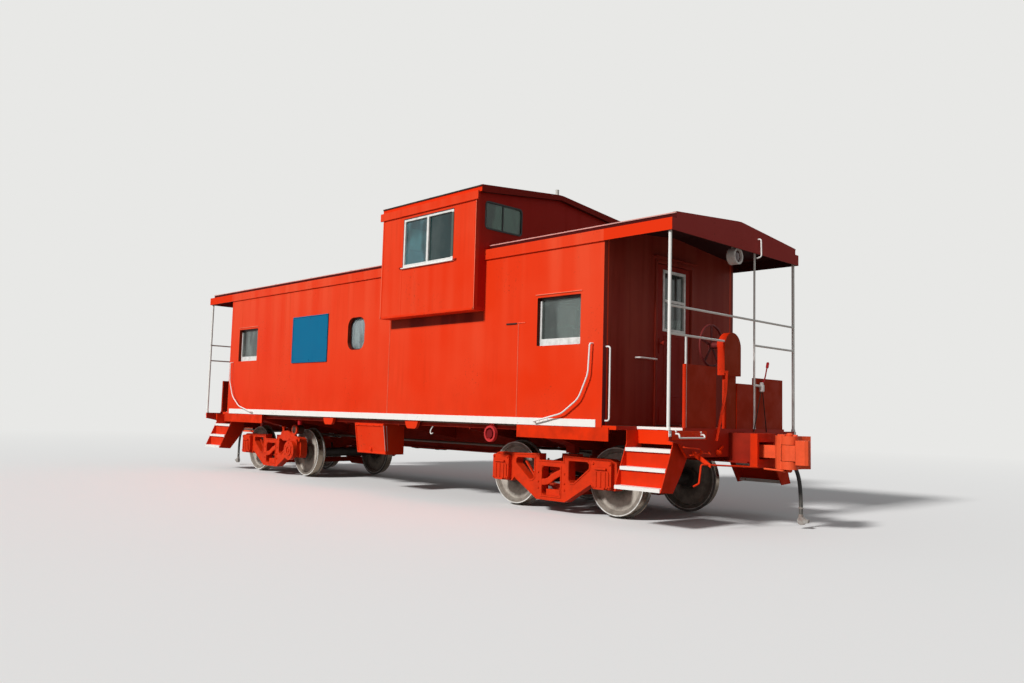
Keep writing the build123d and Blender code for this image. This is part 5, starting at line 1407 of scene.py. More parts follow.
@dataclass
class Cupola(Assembly):
    """Trim of the cupola: corner angles and beads, window sills and clips, and the straps of its roof."""

    side_y: float = 1.61
    x0: float = 0.539
    x1: float = 2.649
    floor_z: float = 2.592
    board_z: float = 4.077
    # Corner angles and the bead on their edge
    angle_width: float = 0.032
    angle_wall: float = 0.008
    bead: float = 0.009
    weld_x: float = 1.04
    weld_size: Pair = (0.01, 0.007)
    window_x: Pair = (1.064, 2.19)
    window_foot_z: float = 3.309
    # Sill: how far it runs past the window, how far its middle lies out and down, and its section
    sill_past: float = 0.02
    sill_place: Pair = (0.012, -0.006)
    sill_size: Pair = (0.034, 0.016)
    # Clip: how far its middle is past the window, half its length, how far out and up, and its section
    clip_past: float = 0.05
    clip_half: float = 0.024
    clip_place: Pair = (0.008, 0.004)
    clip_size: Pair = (0.02, 0.024)
    roof_x0: float = 0.479
    roof_x1: float = 2.709
    eave: Pair = (1.576, 4.275)
    ridge_z: float = 4.44
    strap_count: int = 3
    strap_width: float = 0.055
    strap_inset: Pair = (0.01, 0.003)
    strap_end: float = 0.03
    eave_bead_place: Pair = (0.003, -0.01)
    eave_bead_size: Pair = (0.014, 0.02)
    # The bar between the two panes of each end window, in the plane of its glass
    glass_inset: float = 0.004
    divider_y: float = 1.12
    divider_z: Pair = (3.715, 4.085)
    divider_size: Pair = (0.022, 0.01)

    def build(self) -> None:
        """Build the cupola's trim on both sides."""
        self.build_corners()
        self.build_window_trim()
        self.build_roof_trim()

    def build_corners(self) -> None:
        """Build the angles round the side sheet, the weld under the window and the beads on the corners."""
        y, half, wall = -self.side_y, self.angle_width / 2, self.angle_wall
        low, high = self.floor_z, self.board_z
        angles, beads = Shell(), Shell()
        for x in (self.x0 + half, self.x1 - half):
            angles.add(strip((x, y, low + wall / 2), (x, y, high - SUNK), 2 * half, wall, ACROSS))
        angles.add(strip((self.x0, y, low + half), (self.x1, y, low + half), wall, 2 * half))
        weld = np.linspace((self.weld_x, y, low + 0.03), (self.weld_x, y, self.window_foot_z - 0.02), 12)
        angles.add(carried(oval(*self.weld_size, 8), weld, ACROSS))
        self.fit(angles.both_sides(), "cupola_corner_angles", "trim_paint", "body_paint")
        # The beads on the corners wear pale paint: a painted highlight down each corner
        y, size = y - 0.001, self.bead
        for x in (self.x0 + 0.005, self.x1 - 0.005):
            beads.add(strip((x, y, low + 0.006), (x, y, high - 0.004), size, size, ACROSS))
        self.fit(beads.both_sides(), "cupola_corner_beads", "seam_paint", "body_paint")

    def build_window_trim(self) -> None:
        """Build the sill of the side window and the clip at each of its ends."""
        start, end = self.window_x
        sill, clips = Shell(), Shell()
        y, z = -self.side_y - self.sill_place[0], self.window_foot_z + self.sill_place[1]
        sill.add(strip((start - self.sill_past, y, z), (end + self.sill_past, y, z), *self.sill_size))
        self.fit(sill.both_sides(), "cupola_window_sills", "white_paint", "white_paint")
        y, z = -self.side_y - self.clip_place[0], self.window_foot_z + self.clip_place[1]
        for x in (start - self.clip_past, end + self.clip_past):
            clips.add(strip((x - self.clip_half, y, z), (x + self.clip_half, y, z), *self.clip_size))
        self.fit(clips.both_sides(), "cupola_window_clips", "frame_paint", "dark_paint")

    def build_roof_trim(self) -> None:
        """Build the straps of the roof, the beads along its eaves and the bars of the end windows."""
        straps, beads, dividers = Shell(), Shell(), Shell()
        for x in np.linspace(self.roof_x0 + self.strap_end, self.roof_x1 - self.strap_end, self.strap_count):
            straps.add(roof_strap(x, self.eave, self.ridge_z, self.strap_inset, self.strap_width))
        self.fit(straps, "cupola_roof_straps", "cupola_roof_paint", "roof_paint")
        y, z = -self.eave[0] - self.eave_bead_place[0], self.eave[1] + self.eave_bead_place[1]
        beads.add(strip((self.roof_x0, y, z), (self.roof_x1, y, z), *self.eave_bead_size))
        self.fit(beads.both_sides(), "cupola_eave_beads", "dark_paint", "roof_paint")
        y, (low, high) = -self.divider_y, self.divider_z
        for x in (self.x0 + self.glass_inset, self.x1 - self.glass_inset):
            dividers.add(strip((x, y, low), (x, y, high), *self.divider_size, ALONG))
        self.fit(dividers.both_sides(), "cupola_window_dividers", "gasket_rubber", "gasket_rubber")


@dataclass
class MainRoof(Assembly):
    """Straps over the joints of the main roof and the beads along its eaves."""

    half_length: float = 5.665
    cupola_x: Pair = (0.539, 2.649)
    eave: Pair = (1.345, 3.494)
    ridge_z: float = 3.617
    pitch: float = 1.25
    strap_width: float = 0.06
    strap_inset: Pair = (0.012, 0.002)
    strap_end: float = 0.035
    bead_place: Pair = (0.003, -0.008)
    bead_size: float = 0.014

    def build(self) -> None:
        """Build the straps, spaced evenly on each length of the roof, and the beads."""
        out, z = self.eave[0] + self.bead_place[0], self.eave[1] + self.bead_place[1]
        straps, beads = Shell(), Shell()
        for start, end in ((-self.half_length, self.cupola_x[0]), (self.cupola_x[1], self.half_length)):
            count = round((end - start) / self.pitch) + 1
            for x in np.linspace(start + self.strap_end, end - self.strap_end, count):
                straps.add(roof_strap(x, self.eave, self.ridge_z, self.strap_inset, self.strap_width))
            for y in (-out, out):
                beads.add(strip((start, y, z), (end, y, z), self.bead_size, self.bead_size))
        self.fit(straps, "roof_straps", "roof_paint", "roof_paint")
        # The eave beads wear pale paint: a painted highlight along the roof's edge
        self.fit(beads, "roof_eave_beads", "eave_paint", "roof_paint")


@dataclass
class Platform(EndAssembly):
    """Fittings of one end platform: valve, irons, door casing, and at end A the lamp's lens."""

    sill_x: float = 5.63
    fascia_x: float = 5.665
    stanchion: Pair = (5.61, 0.4)
    post_y: float = 1.385
    shoulder_z: float = 1.098
    wall_x: float = 4.7
    leaf_x: float = 4.6965
    door_half: float = 0.368
    door_top_z: float = 3.176
    deck_z: float = 1.125
    panel_x: float = 5.611
    standoff: float = 0.004
    # Loop on the fascia, from the fascia's face, and hand iron under the deck's edge, from the sill's
    loop: Route = (
        (-0.002, 0.385, 3.465), (0.045, 0.385, 3.465), (0.045, 0.395, 3.245),
        (-0.002, 0.36, 3.225))
    loop_rod: float = 0.018
    hand_iron: Route = (
        (0, -1.285, 1.062), (0.05, -1.285, 1.062), (0.055, -1.285, 1.018),
        (0.055, -0.8, 1.018), (0.05, -0.8, 1.052), (0, -0.8, 1.052))
    hand_rod: float = 0.02
    hand_bolts: Route = ((0.003, -1.285, 1.088), (0.003, -0.8, 1.078))
    # Emergency valve: reach before the stanchion, place across, its turned body and pipe, the lever and
    # its grip, and the feet of the two rods on the sill. Routes are from the valve's plane.
    valve_reach: float = 0.026
    valve_y: float = 0.535
    valve_z: float = 1.64
    valve_profile: Pairs = (
        (0.02, -0.06), (0.033, -0.05), (0.033, 0.02), (0.024, 0.03), (0.024, 0.055),
        (0.012, 0.06))
    pipe: Route = ((-0.026, 0.4, 1.66), (0, 0.45, 1.655), (0, 0.535, 1.645))
    pipe_across: float = 0.03
    lever: Route = ((0, 0.535, 1.66), (0.01, 0.6, 1.76), (0.01, 0.65, 1.91))
    lever_size: Pair = (0.028, 0.01)
    grip: Point = (0.01, 0.645, 1.88)
    grip_axis: Point = (0, 0.3, 0.95)
    grip_profile: Pairs = ((0.008, 0.0), (0.018, 0.01), (0.018, 0.07), (0.01, 0.08))
    rod_feet: Pair = (0.347, 0.651)
    rod_z: Pair = (1.6, 1.09)
    rod_across: float = 0.012
    # Door: gap and section of the casing, the drip over it, the pressed panel and the kick plate
    casing_gap: float = 0.024
    casing_size: Pair = (0.044, 0.016)
    drip_past: Point = (0.02, 0.06, 0.05)
    drip_size: Pair = (0.06, 0.012)
    panel_y: Pair = (-0.2, 0.27)
    panel_z: Pair = (1.5, 2.26)
    panel_bead: Pair = (0.02, 0.008)
    kick_half: float = 0.3
    kick_z: float = 1.27
    kick_size: Pair = (0.006, 0.2)
    # Feet of the stanchion and of the corner posts
    stanchion_foot: Pairs = ((0.034, 0.0), (0.034, 0.008), (0.024, 0.012), (0.02, 0.03))
    stanchion_shift: float = -0.012
    post_foot: Pairs = ((0.026, 0.0), (0.026, 0.022), (0.022, 0.03))
    foot_strap_z: float = 1.03
    foot_strap_size: Pair = (0.044, 0.01)
    foot_bolt_z: float = 1.05
    # Gear on the end sill: its lever strap, the two rods of the uncoupling gear, the bell crank and bolts
    strap_run: Route = ((0.003, -1.35, 1.044), (0.003, -0.68, 1.044))
    strap_size: Pair = (0.008, 0.1)
    upper_rod: Route = (
        (0.002, -1.12, 0.925), (0.05, -1.2, 0.915), (0.075, -1.02, 0.905),
        (0.075, -0.9, 0.895), (0.07, -0.89, 0.835), (0.07, -1.1, 0.832))
    lower_rod: Route = ((0.06, -1.02, 0.845), (0.07, -0.8, 0.85), (0.06, -0.68, 0.83), (0.002, -0.64, 0.86))
    gear_rod_size: Pair = (0.022, 0.012)
    gear_rod_up: Point = (0.2, 0.1, 0.97)
    crank: Point = (0, -0.45, 0.85)
    crank_profile: Pairs = (
        (0.012, 0.0), (0.034, 0.002), (0.034, 0.03), (0.02, 0.036), (0.02, 0.05),
        (0.008, 0.055))
    crank_arm: Route = ((0.02, -0.46, 0.845), (0.02, -0.36, 0.925))
    crank_arm_size: Pair = (0.03, 0.012)
    sill_bolts_y: tuple[float, ...] = (-0.95, -0.76, 0.3, 0.76, 0.95)
    sill_bolts_z: Pair = (0.86, 1.06)
    # Painted highlights on the edges of the rail panels: place across and top
    panel_edges: Pairs = ((-1.052, 1.833), (0.433, 1.748))
    panel_foot_z: float = 1.13
    panel_edge_size: Pair = (0.008, 0.006)
    lens: Point = (5.6, 0.0, 3.205)
    lens_profile: Pairs = ((0.075, 0.0), (0.075, 0.004), (0.066, 0.01), (0.045, 0.015), (0.02, 0.018))

    def build(self) -> None:
        """Build everything of this end."""
        self.build_irons()
        self.build_valve()
        self.build_door()
        self.build_feet()
        self.build_sill_gear()
        if self.end == "a":
            lens = Shell().add(turned(self.lens_profile, self.lens, ALONG, 32))
            self.fit(lens, "end_lamp_lens", "lamp_glass", "glass")

    def build_irons(self) -> None:
        """Build the loop on the fascia and the hand iron under the deck edge."""
        irons = Shell()
        loop = bent(moved(self.loop, self.fascia_x), 0.03)
        irons.add(bar(loop, self.loop_rod, 10, ACROSS))
        foot = self.sill_x + self.standoff
        hand = bent(moved(self.hand_iron, foot), 0.02)
        irons.add(bar(hand, self.hand_rod, 10, (0.3, 0.2, 0.93)))
        irons.bolts(moved(self.hand_bolts, foot), ALONG, 0.012)
        self.fit_end(irons, "end_irons", "white_paint", "white_paint")

    def build_valve(self) -> None:
        """Build the emergency valve on the stanchion, with its red lever and the two rods to the sill."""
        front = self.stanchion[0] + self.valve_reach
        body, lever, rods = Shell(), Shell(), Shell()
        body.add(turned(self.valve_profile, (front, self.valve_y, self.valve_z), UP, 16))
        body.add(bar(bent(moved(self.pipe, front), 0.02), self.pipe_across, 12))
        self.fit_end(body, "valve_body", "lamp_metal", "lamp_metal")
        lever.add(carried(oval(*self.lever_size, 10), bent(moved(self.lever, front), 0.04), ALONG))
        lever.add(turned(self.grip_profile, moved(self.grip, front), self.grip_axis, 12))
        self.fit_end(lever, "valve_lever", "red_paint", "truck_paint")
        high, low = self.rod_z
        for foot in self.rod_feet:
            head = self.valve_y + (foot - self.valve_y) * 0.1
            rod = np.linspace((front + 0.004, head, high), (self.sill_x + 0.006, foot, low), 3)
            rods.add(bar(rod, self.rod_across, 8, ALONG))
        self.fit_end(rods, "valve_rods", "dark_paint", "dark_paint")

    def build_door(self) -> None:
        """Build the casing round the door with its drip, and on the leaf its pressed panel and kick plate."""
        x, foot = self.wall_x + 0.006, self.deck_z + 0.006
        half, top = self.door_half + self.casing_gap, self.door_top_z + self.casing_gap
        casing, leaf = Shell(), Shell()
        path = bent([(x, -half, foot), (x, -half, top), (x, half, top), (x, half, foot)], 0.003, 3)
        casing.add(carried(oval(*self.casing_size, 12, 0.3), path, ALONG))
        out, past, over = self.drip_past
        drip = [(x + out, y, top + over) for y in (-half - past, half + past)]
        casing.add(strip(*drip, *self.drip_size))
        self.fit_end(casing, "door_casing", "end_paint", "end_paint")
        x, (left, right), (low, high) = self.leaf_x, self.panel_y, self.panel_z
        panel = bent([(x, left, low), (x, right, low), (x, right, high), (x, left, high),
                      (x, left, low)], 0.02)
        leaf.add(carried(oval(*self.panel_bead, 8), panel, ALONG))
        leaf.add(strip((x, -self.kick_half, self.kick_z), (x, self.kick_half, self.kick_z), *self.kick_size))
        self.fit_end(leaf, "door_mouldings", "door_paint", "end_paint", "door")

    def build_feet(self) -> None:
        """Build the foot of the stanchion, and the collars and straps that hold the posts to the sill."""
        feet = Shell()
        x, y = self.stanchion
        feet.add(turned(self.stanchion_foot, (x + self.stanchion_shift, y, self.deck_z), UP, 20))
        face = self.sill_x + self.standoff
        for y in (-self.post_y, self.post_y):
            feet.add(turned(self.post_foot, (x, y, self.shoulder_z), UP, 20))
            feet.add(strip((face, y, self.foot_strap_z), (face, y, self.shoulder_z - 0.003),
                           *self.foot_strap_size, ALONG))
            feet.bolts([(self.sill_x + 0.009, y, self.foot_bolt_z)], ALONG, 0.011, 0.008)
        self.fit_end(feet, "post_feet", "white_paint", "white_paint")

    def build_sill_gear(self) -> None:
        """Build the lever's strap and rods, the bell crank and bolts, and the painted highlights on the edges
        of the rail panels.
        """
        x = self.sill_x
        gear, edges = Shell(), Shell()
        gear.add(strip(*moved(self.strap_run, x), *self.strap_size))
        for rod in (self.upper_rod, self.lower_rod):
            gear.add(carried(oval(*self.gear_rod_size, 8), bent(moved(rod, x), 0.03), self.gear_rod_up))
        gear.add(turned(self.crank_profile, moved(self.crank, x), ALONG, 16))
        gear.add(strip(*moved(self.crank_arm, x), *self.crank_arm_size, ALONG))
        gear.bolts([(x, y, z) for y in self.sill_bolts_y for z in self.sill_bolts_z], ALONG, 0.013)
        self.fit_end(gear, "end_sill_gear", "trim_paint", "truck_paint")
        # Pale strips: painted highlights on the panels' edges
        for y, top in self.panel_edges:
            edges.add(strip((self.panel_x, y, self.panel_foot_z), (self.panel_x, y, top),
                            *self.panel_edge_size, ALONG))
        self.fit_end(edges, "panel_edges", "eave_paint", "frame_paint")


@dataclass
class Underbody(Assembly):
    """What hangs under the floor besides the CAD tanks: heads, straps, rods, levers and box fittings."""

    tank_y: float = 0.7
    tank_z: float = 0.73
    tank_radius: float = 0.165
    tank_x: Pair = (-1.5, -0.6)
    # Dome of a tank's head: share of its radius, height
    dome: Pairs = ((1.0, -0.01), (0.98, 0.012), (0.85, 0.03), (0.5, 0.046))
    dome_tip: Pair = (0.02, 0.05)
    strap_x: Pair = (-1.39, -0.81)
    strap_half: Pair = (0.025, 0.022)
    strap_proud: float = 0.006
    pipe: Route = (
        (-0.58, 0.6, 0.78), (-0.5, 0.58, 0.8), (-0.42, 0.55, 0.93), (0.3, 0.55, 0.93),
        (0.4, 0.6, 0.82), (0.46, 0.64, 0.78))
    pipe_across: float = 0.03
    # Bolts round the brake cylinder's head
    flange_x: float = 0.87
    flange_radius: float = 0.158
    flange_bolts: int = 8
    # The floating lever across the car, and its two rods: place along of the far end, place across
    lever_x: float = 1.235
    lever_y: Pair = (0.79, 0.33)
    lever_size: Pair = (0.055, 0.014)
    rods: Pairs = ((2.93, 0.42), (-2.93, 0.37))
    rod_across: float = 0.024
    rod_drop: float = 0.02
    jaw_length: float = 0.09
    jaw_size: Pair = (0.04, 0.03)
    pins: Pairs = ((0.7, 0.007), (0.42, 0.03), (0.37, 0.03))
    # The tool box: its sloping front leans in by slope over height from top_z down
    box_top_z: float = 1.03
    box_face_y: float = -1.33
    box_slope: float = 0.075
    box_height: float = 0.47
    box_edges_x: Pair = (-0.403, 0.333)
    box_edges_z: Pair = (0.578, 1.0)
    box_bolts_x: tuple[float, ...] = (-0.3, -0.1, 0.1, 0.25)
    front_up: Point = (0, -1, 0.16)
    fold_x: float = 0.348
    folds_y: Pairs = ((-1.325, -1.275), (-1.272, -1.235))
    fold_z: Pair = (1.0, 0.615)
    fold_size: Pair = (0.008, 0.012)
    hasp_x: float = -0.04
    hasp_size: Pair = (0.045, 0.01)
    knob_profile: Pairs = ((0.012, 0.0), (0.022, 0.002), (0.022, 0.014), (0.01, 0.018))
    hook: Route = (
        (1.5, -1.3, 1.02), (1.5, -1.33, 0.99), (1.5, -1.345, 0.94), (1.53, -1.35, 0.915),
        (1.56, -1.345, 0.935))
    hook_rod: float = 0.014

    def build(self) -> None:
        """Build the tank's heads and straps, the brake rods, the tool box's fittings and the hook."""
        self.build_tank()
        self.build_rigging()
        self.build_box()
        hook = bar(bent(self.hook, 0.02), self.hook_rod, 8, (0.5, 0.5, 0.1))
        self.fit(Shell().add(hook), "sill_hook", "white_paint", "white_paint")

    def build_tank(self) -> None:
        """Build the tank's domed heads, its straps and pipe, and the bolts of the cylinder beside it."""
        y, z, radius = self.tank_y, self.tank_z, self.tank_radius
        tank = Shell()
        dome = [(radius * share, height) for share, height in self.dome] + [self.dome_tip]
        for x, way in zip(self.tank_x, (-1, 1)):
            tank.add(turned(dome, (x, y, z), (way, 0, 0), 40))
        outer, inner = self.strap_half
        strap = [(radius - SUNK, -outer), (radius + self.strap_proud, -inner),
                 (radius + self.strap_proud, inner), (radius - SUNK, outer)]
        for x in self.strap_x:
            tank.add(turned(strap, (x, y, z), ALONG, 40))
        tank.add(bar(bent(self.pipe, 0.06), self.pipe_across, 12, ACROSS))
        angles = np.arange(self.flange_bolts) * 2 * math.pi / self.flange_bolts
        out = self.flange_radius
        tank.bolts([(self.flange_x, y + out * math.cos(a), z + out * math.sin(a)) for a in angles],
                   (-1, 0, 0), 0.013)
        self.fit(tank, "brake_tank_fittings", "dark_paint", "dark_paint")

    def build_rigging(self) -> None:
        """Build the floating lever with its pins, and the long rods that end in jaws over the trucks."""
        x, z, drop = self.lever_x, self.tank_z, self.rod_drop
        rigging = Shell()
        rigging.add(strip((x, self.lever_y[0], z), (x, self.lever_y[1], z), *self.lever_size))
        for to_x, y in self.rods:
            rod = np.linspace((x, y, z + drop), (to_x, y, z - drop), 3)
            rigging.add(bar(rod, self.rod_across, 10))
            jaw = (to_x + math.copysign(self.jaw_length, to_x), y, z - 0.025)
            rigging.add(strip((to_x, y, z - drop), jaw, *self.jaw_size))
        rigging.bolts([(x, y, z + rise) for y, rise in self.pins], UP, 0.018, 0.016)
        self.fit(rigging, "brake_rigging", "brake_iron", "dark_paint")

    def front(self, x: float, height: float, out: float = 0.004) -> Point:
        """Give a point at this height on the tool box's sloping front, or out before it."""
        slope = (self.box_top_z - height) * self.box_slope / self.box_height
        return x, self.box_face_y + slope - out, height

    def build_box(self) -> None:
        """Build the tool box's folded edges, the painted highlights down the folds at its side, and its hasp.
        """
        edges, folds, hasp = Shell(), Shell(), Shell()
        for x in self.box_edges_x:
            edges.add(strip(self.front(x, 0.572), self.front(x, 1.02), 0.022, 0.014, self.front_up))
        for height in self.box_edges_z:
            edges.add(strip(self.front(-0.4, height), self.front(0.33, height), 0.014, 0.022))
        edges.bolts([self.front(x, self.box_edges_z[1], 0.01) for x in self.box_bolts_x], NEAR, 0.01)
        self.fit(edges, "tool_box_edges", "trim_paint", "body_paint")
        # Pale strips down the folds at the box's side: painted highlights
        high, low = self.fold_z
        for top_y, foot_y in self.folds_y:
            folds.add(strip((self.fold_x, top_y, high), (self.fold_x, foot_y, low), *self.fold_size, ACROSS))
        self.fit(folds, "tool_box_folds", "eave_paint", "body_paint")
        tongue = (self.front(self.hasp_x, 0.66), self.front(self.hasp_x, 0.57, 0.012))
        hasp.add(strip(*tongue, *self.hasp_size, self.front_up))
        hasp.add(turned(self.knob_profile, self.front(self.hasp_x, 0.63), NEAR, 14))
        self.fit(hasp, "tool_box_hasp", "trim_paint", "body_paint")


@dataclass
class Truck(EndAssembly):
    """Cast detail of one truck: flanges round the side frames, bolts, lid hinges and brake levers."""

    middle_x: float = 3.585
    face_y: float = 1.04
    box_face_y: float = 1.1
    box_x: float = 0.87
    # Narrow enough to end 7 mm short of the journals
    flange_width: float = 0.019
    flange_height: float = 0.008
    # Half outline of the side frame and one window, as in part.py, in metres from the truck's middle
    outline: Pairs = (
        (0.205, 0.655), (0.205, 0.735), (0.6, 0.722), (0.96, 0.722), (1.06, 0.68), (1.075, 0.54),
        (1.075, 0.4), (1.04, 0.352), (0.7, 0.352), (0.66, 0.4), (0.245, 0.15))
    window: Pairs = (
        (0.3, 0.668), (0.6, 0.668), (0.628, 0.64), (0.628, 0.59), (0.38, 0.398), (0.33, 0.398),
        (0.3, 0.43))
    # The bolster's opening: half its width, foot and head
    opening: Point = (0.158, 0.212, 0.578)
    # Journal boxes: bolts, hinge and lip of the lid
    box_bolt_x: float = 0.128
    box_bolts_z: Pair = (0.395, 0.665)
    box_bolt_size: Pair = (0.017, 0.014)
    hinge_half: float = 0.085
    hinge_place: Pair = (0.018, 0.602)
    hinge_across: float = 0.03
    lip_half: float = 0.07
    lip_place: Pair = (0.02, 0.372)
    lip_size: Pair = (0.03, 0.022)
    column_bolt_x: float = 0.225
    column_bolts_z: Point = (0.3, 0.38, 0.5)
    column_bolt_size: Pair = (0.014, 0.012)
    # The arm before the spring and the strut beside it: along the truck, across, height
    arm: Route = (
        (-0.17, -1.034, 0.375), (-0.06, -1.034, 0.385), (0.05, -1.024, 0.47),
        (0.165, -1.018, 0.515))
    arm_size: Pair = (0.08, 0.024)
    strut: Route = ((-0.5, -0.985, 0.62), (-0.335, -0.985, 0.44))
    strut_size: Pair = (0.02, 0.036)
    # Brake lever, hangers of the shoes and the rod between the beams
    lever: Route = ((0.378, 0.06, 0.36), (0.33, 0.06, 0.6))
    lever_size: Pair = (0.05, 0.014)
    hanger: Pairs = ((0.395, 0.4), (0.37, 0.66))
    hanger_y: float = 0.7
    hanger_size: Pair = (0.03, 0.012)
    rod_half: float = 0.36
    rod_z: float = 0.425
    rod_across: float = 0.028

    def rim(self, outline: np.ndarray, inwards: float) -> np.ndarray:
        """Give a flange round a closed outline: each corner moves along its mitre by the flange's width.

        Args:
            outline: corners in order, one row each, as place along the truck and height.
            inwards: 1 to lie inside the outline, -1 outside it.

        Returns:
            A looped grid of four-cornered sections.
        """
        ahead = unit(np.roll(outline, -1, 0) - outline)
        behind = np.roll(ahead, 1, 0)
        after = np.roll(outline, -1, 0)
        turn = np.sign(np.sum(outline[:, 0] * after[:, 1] - after[:, 0] * outline[:, 1]))
        normal = np.stack([-ahead[:, 1], ahead[:, 0]], 1) * turn * inwards
        mean = unit(normal + np.stack([-behind[:, 1], behind[:, 0]], 1) * turn * inwards)
        mitre = mean / np.maximum(np.sum(mean * normal, 1), 0.5)[:, None] * self.flange_width
        inner, draft = outline + mitre, mitre * 0.12
        low, high = self.face_y - SUNK, self.face_y + self.flange_height
        section = [(outline, low), (outline + draft, high), (inner - draft, high), (inner, low)]
        return np.stack([np.stack([p[:, 0], np.full(len(p), -y), p[:, 1]], 1) for p, y in section], 1)

    def build(self) -> None:
        """Build the near frame's detail, mirror it to the far side and turn it to its end."""
        shift = np.array([self.middle_x, 0.0, 0.0])
        half = np.array(self.outline)
        whole = np.concatenate([half, half[::-1] * (-1, 1)])
        window = np.array(self.window)
        a, low, high = self.opening
        square = np.array([(-a, low), (a, low), (a, high), (-a, high)])
        frame = Shell()
        for outline, inwards in ((whole, 1), (window, -1), (window * (-1, 1), -1), (square, -1)):
            frame.add(self.rim(outline, inwards) + shift, loop=True)
        self.add_bolts(frame)
        frame.both_sides()
        self.add_arms(frame)
        self.fit_end(frame, "side_frame_flanges", "truck_paint", "truck_paint", "truck")
        self.build_levers()

    def add_bolts(self, frame: Shell) -> None:
        """Add the bolts of the boxes and columns, and the hinge and lip of each lid.

        Args:
            frame: the shell that takes them.
        """
        for x in (self.middle_x - self.box_x, self.middle_x + self.box_x):
            y = -self.box_face_y
            frame.bolts([(x + u * self.box_bolt_x, y, v) for u in (-1, 1) for v in self.box_bolts_z],
                        NEAR, *self.box_bolt_size)
            half, out, z = self.hinge_half, y - self.hinge_place[0], self.hinge_place[1]
            hinge = np.linspace((x - half, out, z), (x + half, out, z), 3)
            frame.add(bar(hinge, self.hinge_across, 12))
            half, out, z = self.lip_half, y - self.lip_place[0], self.lip_place[1]
            frame.add(strip((x - half, out, z), (x + half, out, z), *self.lip_size))
        for u in (-self.column_bolt_x, self.column_bolt_x):
            frame.bolts([(self.middle_x + u, -self.face_y, v) for v in self.column_bolts_z],
                        NEAR, *self.column_bolt_size)

    def add_arms(self, frame: Shell) -> None:
        """Add what looks the same from either side of the track: a guide arm before each spring, and a strut.

        Args:
            frame: the shell that takes them.
        """
        for near in (1, -1):
            turn = np.array([near, near, 1])
            arm = bent(moved(np.array(self.arm) * turn, self.middle_x), 0.06)
            frame.add(carried(oval(*self.arm_size, 12, 0.3), arm, ACROSS))
            frame.add(strip(*moved(np.array(self.strut) * turn, self.middle_x), *self.strut_size, ACROSS))

    def build_levers(self) -> None:
        """Build the brake levers, the rod that joins the beams and the hangers of the shoes."""
        x, z = self.middle_x, self.rod_z
        levers = Shell()
        (foot, low), (head, high) = self.hanger
        for side in (-1, 1):
            levers.add(strip(*moved(np.array(self.lever) * (side, side, 1), x), *self.lever_size, ACROSS))
            for y in (-self.hanger_y, self.hanger_y):
                ends = ((x + side * foot, y, low), (x + side * head, y, high))
                levers.add(strip(*ends, *self.hanger_size, ACROSS))
        rod = np.linspace((x - self.rod_half, 0.0, z), (x + self.rod_half, 0.0, z), 3)
        levers.add(bar(rod, self.rod_across, 10))
        self.fit_end(levers, "truck_brake_levers", "brake_iron", "dark_paint", "truck")


@dataclass
class DriveGear(Assembly):
    """The bracket over the drive case of truck B with its pump, the case's bolts and the floor's hanger."""

    # Corners of the bracket's plate, as place along the car and height, and its two faces
    plate: Pairs = (
        (-3.22, 0.7), (-3.16, 0.8), (-2.97, 0.825), (-2.74, 0.76), (-2.52, 0.69),
        (-2.52, 0.64), (-3.1, 0.64))
    plate_y: Pair = (-1.04, -1.075)
    knob: Point = (-3.11, -1.06, 0.795)
    knob_profile: Pairs = ((0.024, 0.0), (0.024, 0.07), (0.034, 0.075), (0.034, 0.095), (0.015, 0.105))
    pump: Point = (-2.7, -1.04, 0.845)
    ring_profile: Pairs = ((0.04, 0.0), (0.09, 0.01), (0.094, 0.02), (0.094, 0.045), (0.082, 0.05))
    pump_profile: Pairs = (
        (0.03, -0.13), (0.076, -0.12), (0.08, 0.04), (0.06, 0.054), (0.036, 0.06),
        (0.03, 0.075))
    cover: Point = (-2.715, -1.175, 0.48)
    cover_radius: float = 0.13
    cover_bolts: int = 6
    hub_size: Pair = (0.03, 0.014)
    hanger: Point = (-2.235, -1.25, 0.945)
    hanger_profile: Pairs = ((0.03, 0.0), (0.036, 0.01), (0.036, 0.15))

    def build(self) -> None:
        """Build the bracket and the cover's bolts, the pump, and the hanger that rides on the car."""
        gear, pump, hanger = Shell(), Shell(), Shell()
        gear.add(np.stack([np.insert(np.array(self.plate), 1, y, 1) for y in self.plate_y]))
        gear.add(turned(self.knob_profile, self.knob, UP, 14))
        gear.add(turned(self.ring_profile, self.pump, NEAR, 28))
        x, y, z = self.cover
        angles = (np.arange(self.cover_bolts) + 0.5) * 2 * math.pi / self.cover_bolts
        gear.bolts([(x + self.cover_radius * math.cos(a), y, z + self.cover_radius * math.sin(a))
                    for a in angles], NEAR, 0.013)
        gear.bolts([self.cover], NEAR, *self.hub_size)
        self.fit(gear, "drive_bracket", "truck_paint", "truck_paint", "truck_b")
        pump.add(turned(self.pump_profile, self.pump, NEAR, 28))
        self.fit(pump, "drive_pump", "brake_iron", "dark_paint", "truck_b")
        hanger.add(turned(self.hanger_profile, self.hanger, UP, 16))
        self.fit(hanger, "floor_hanger", "red_paint", "truck_paint")


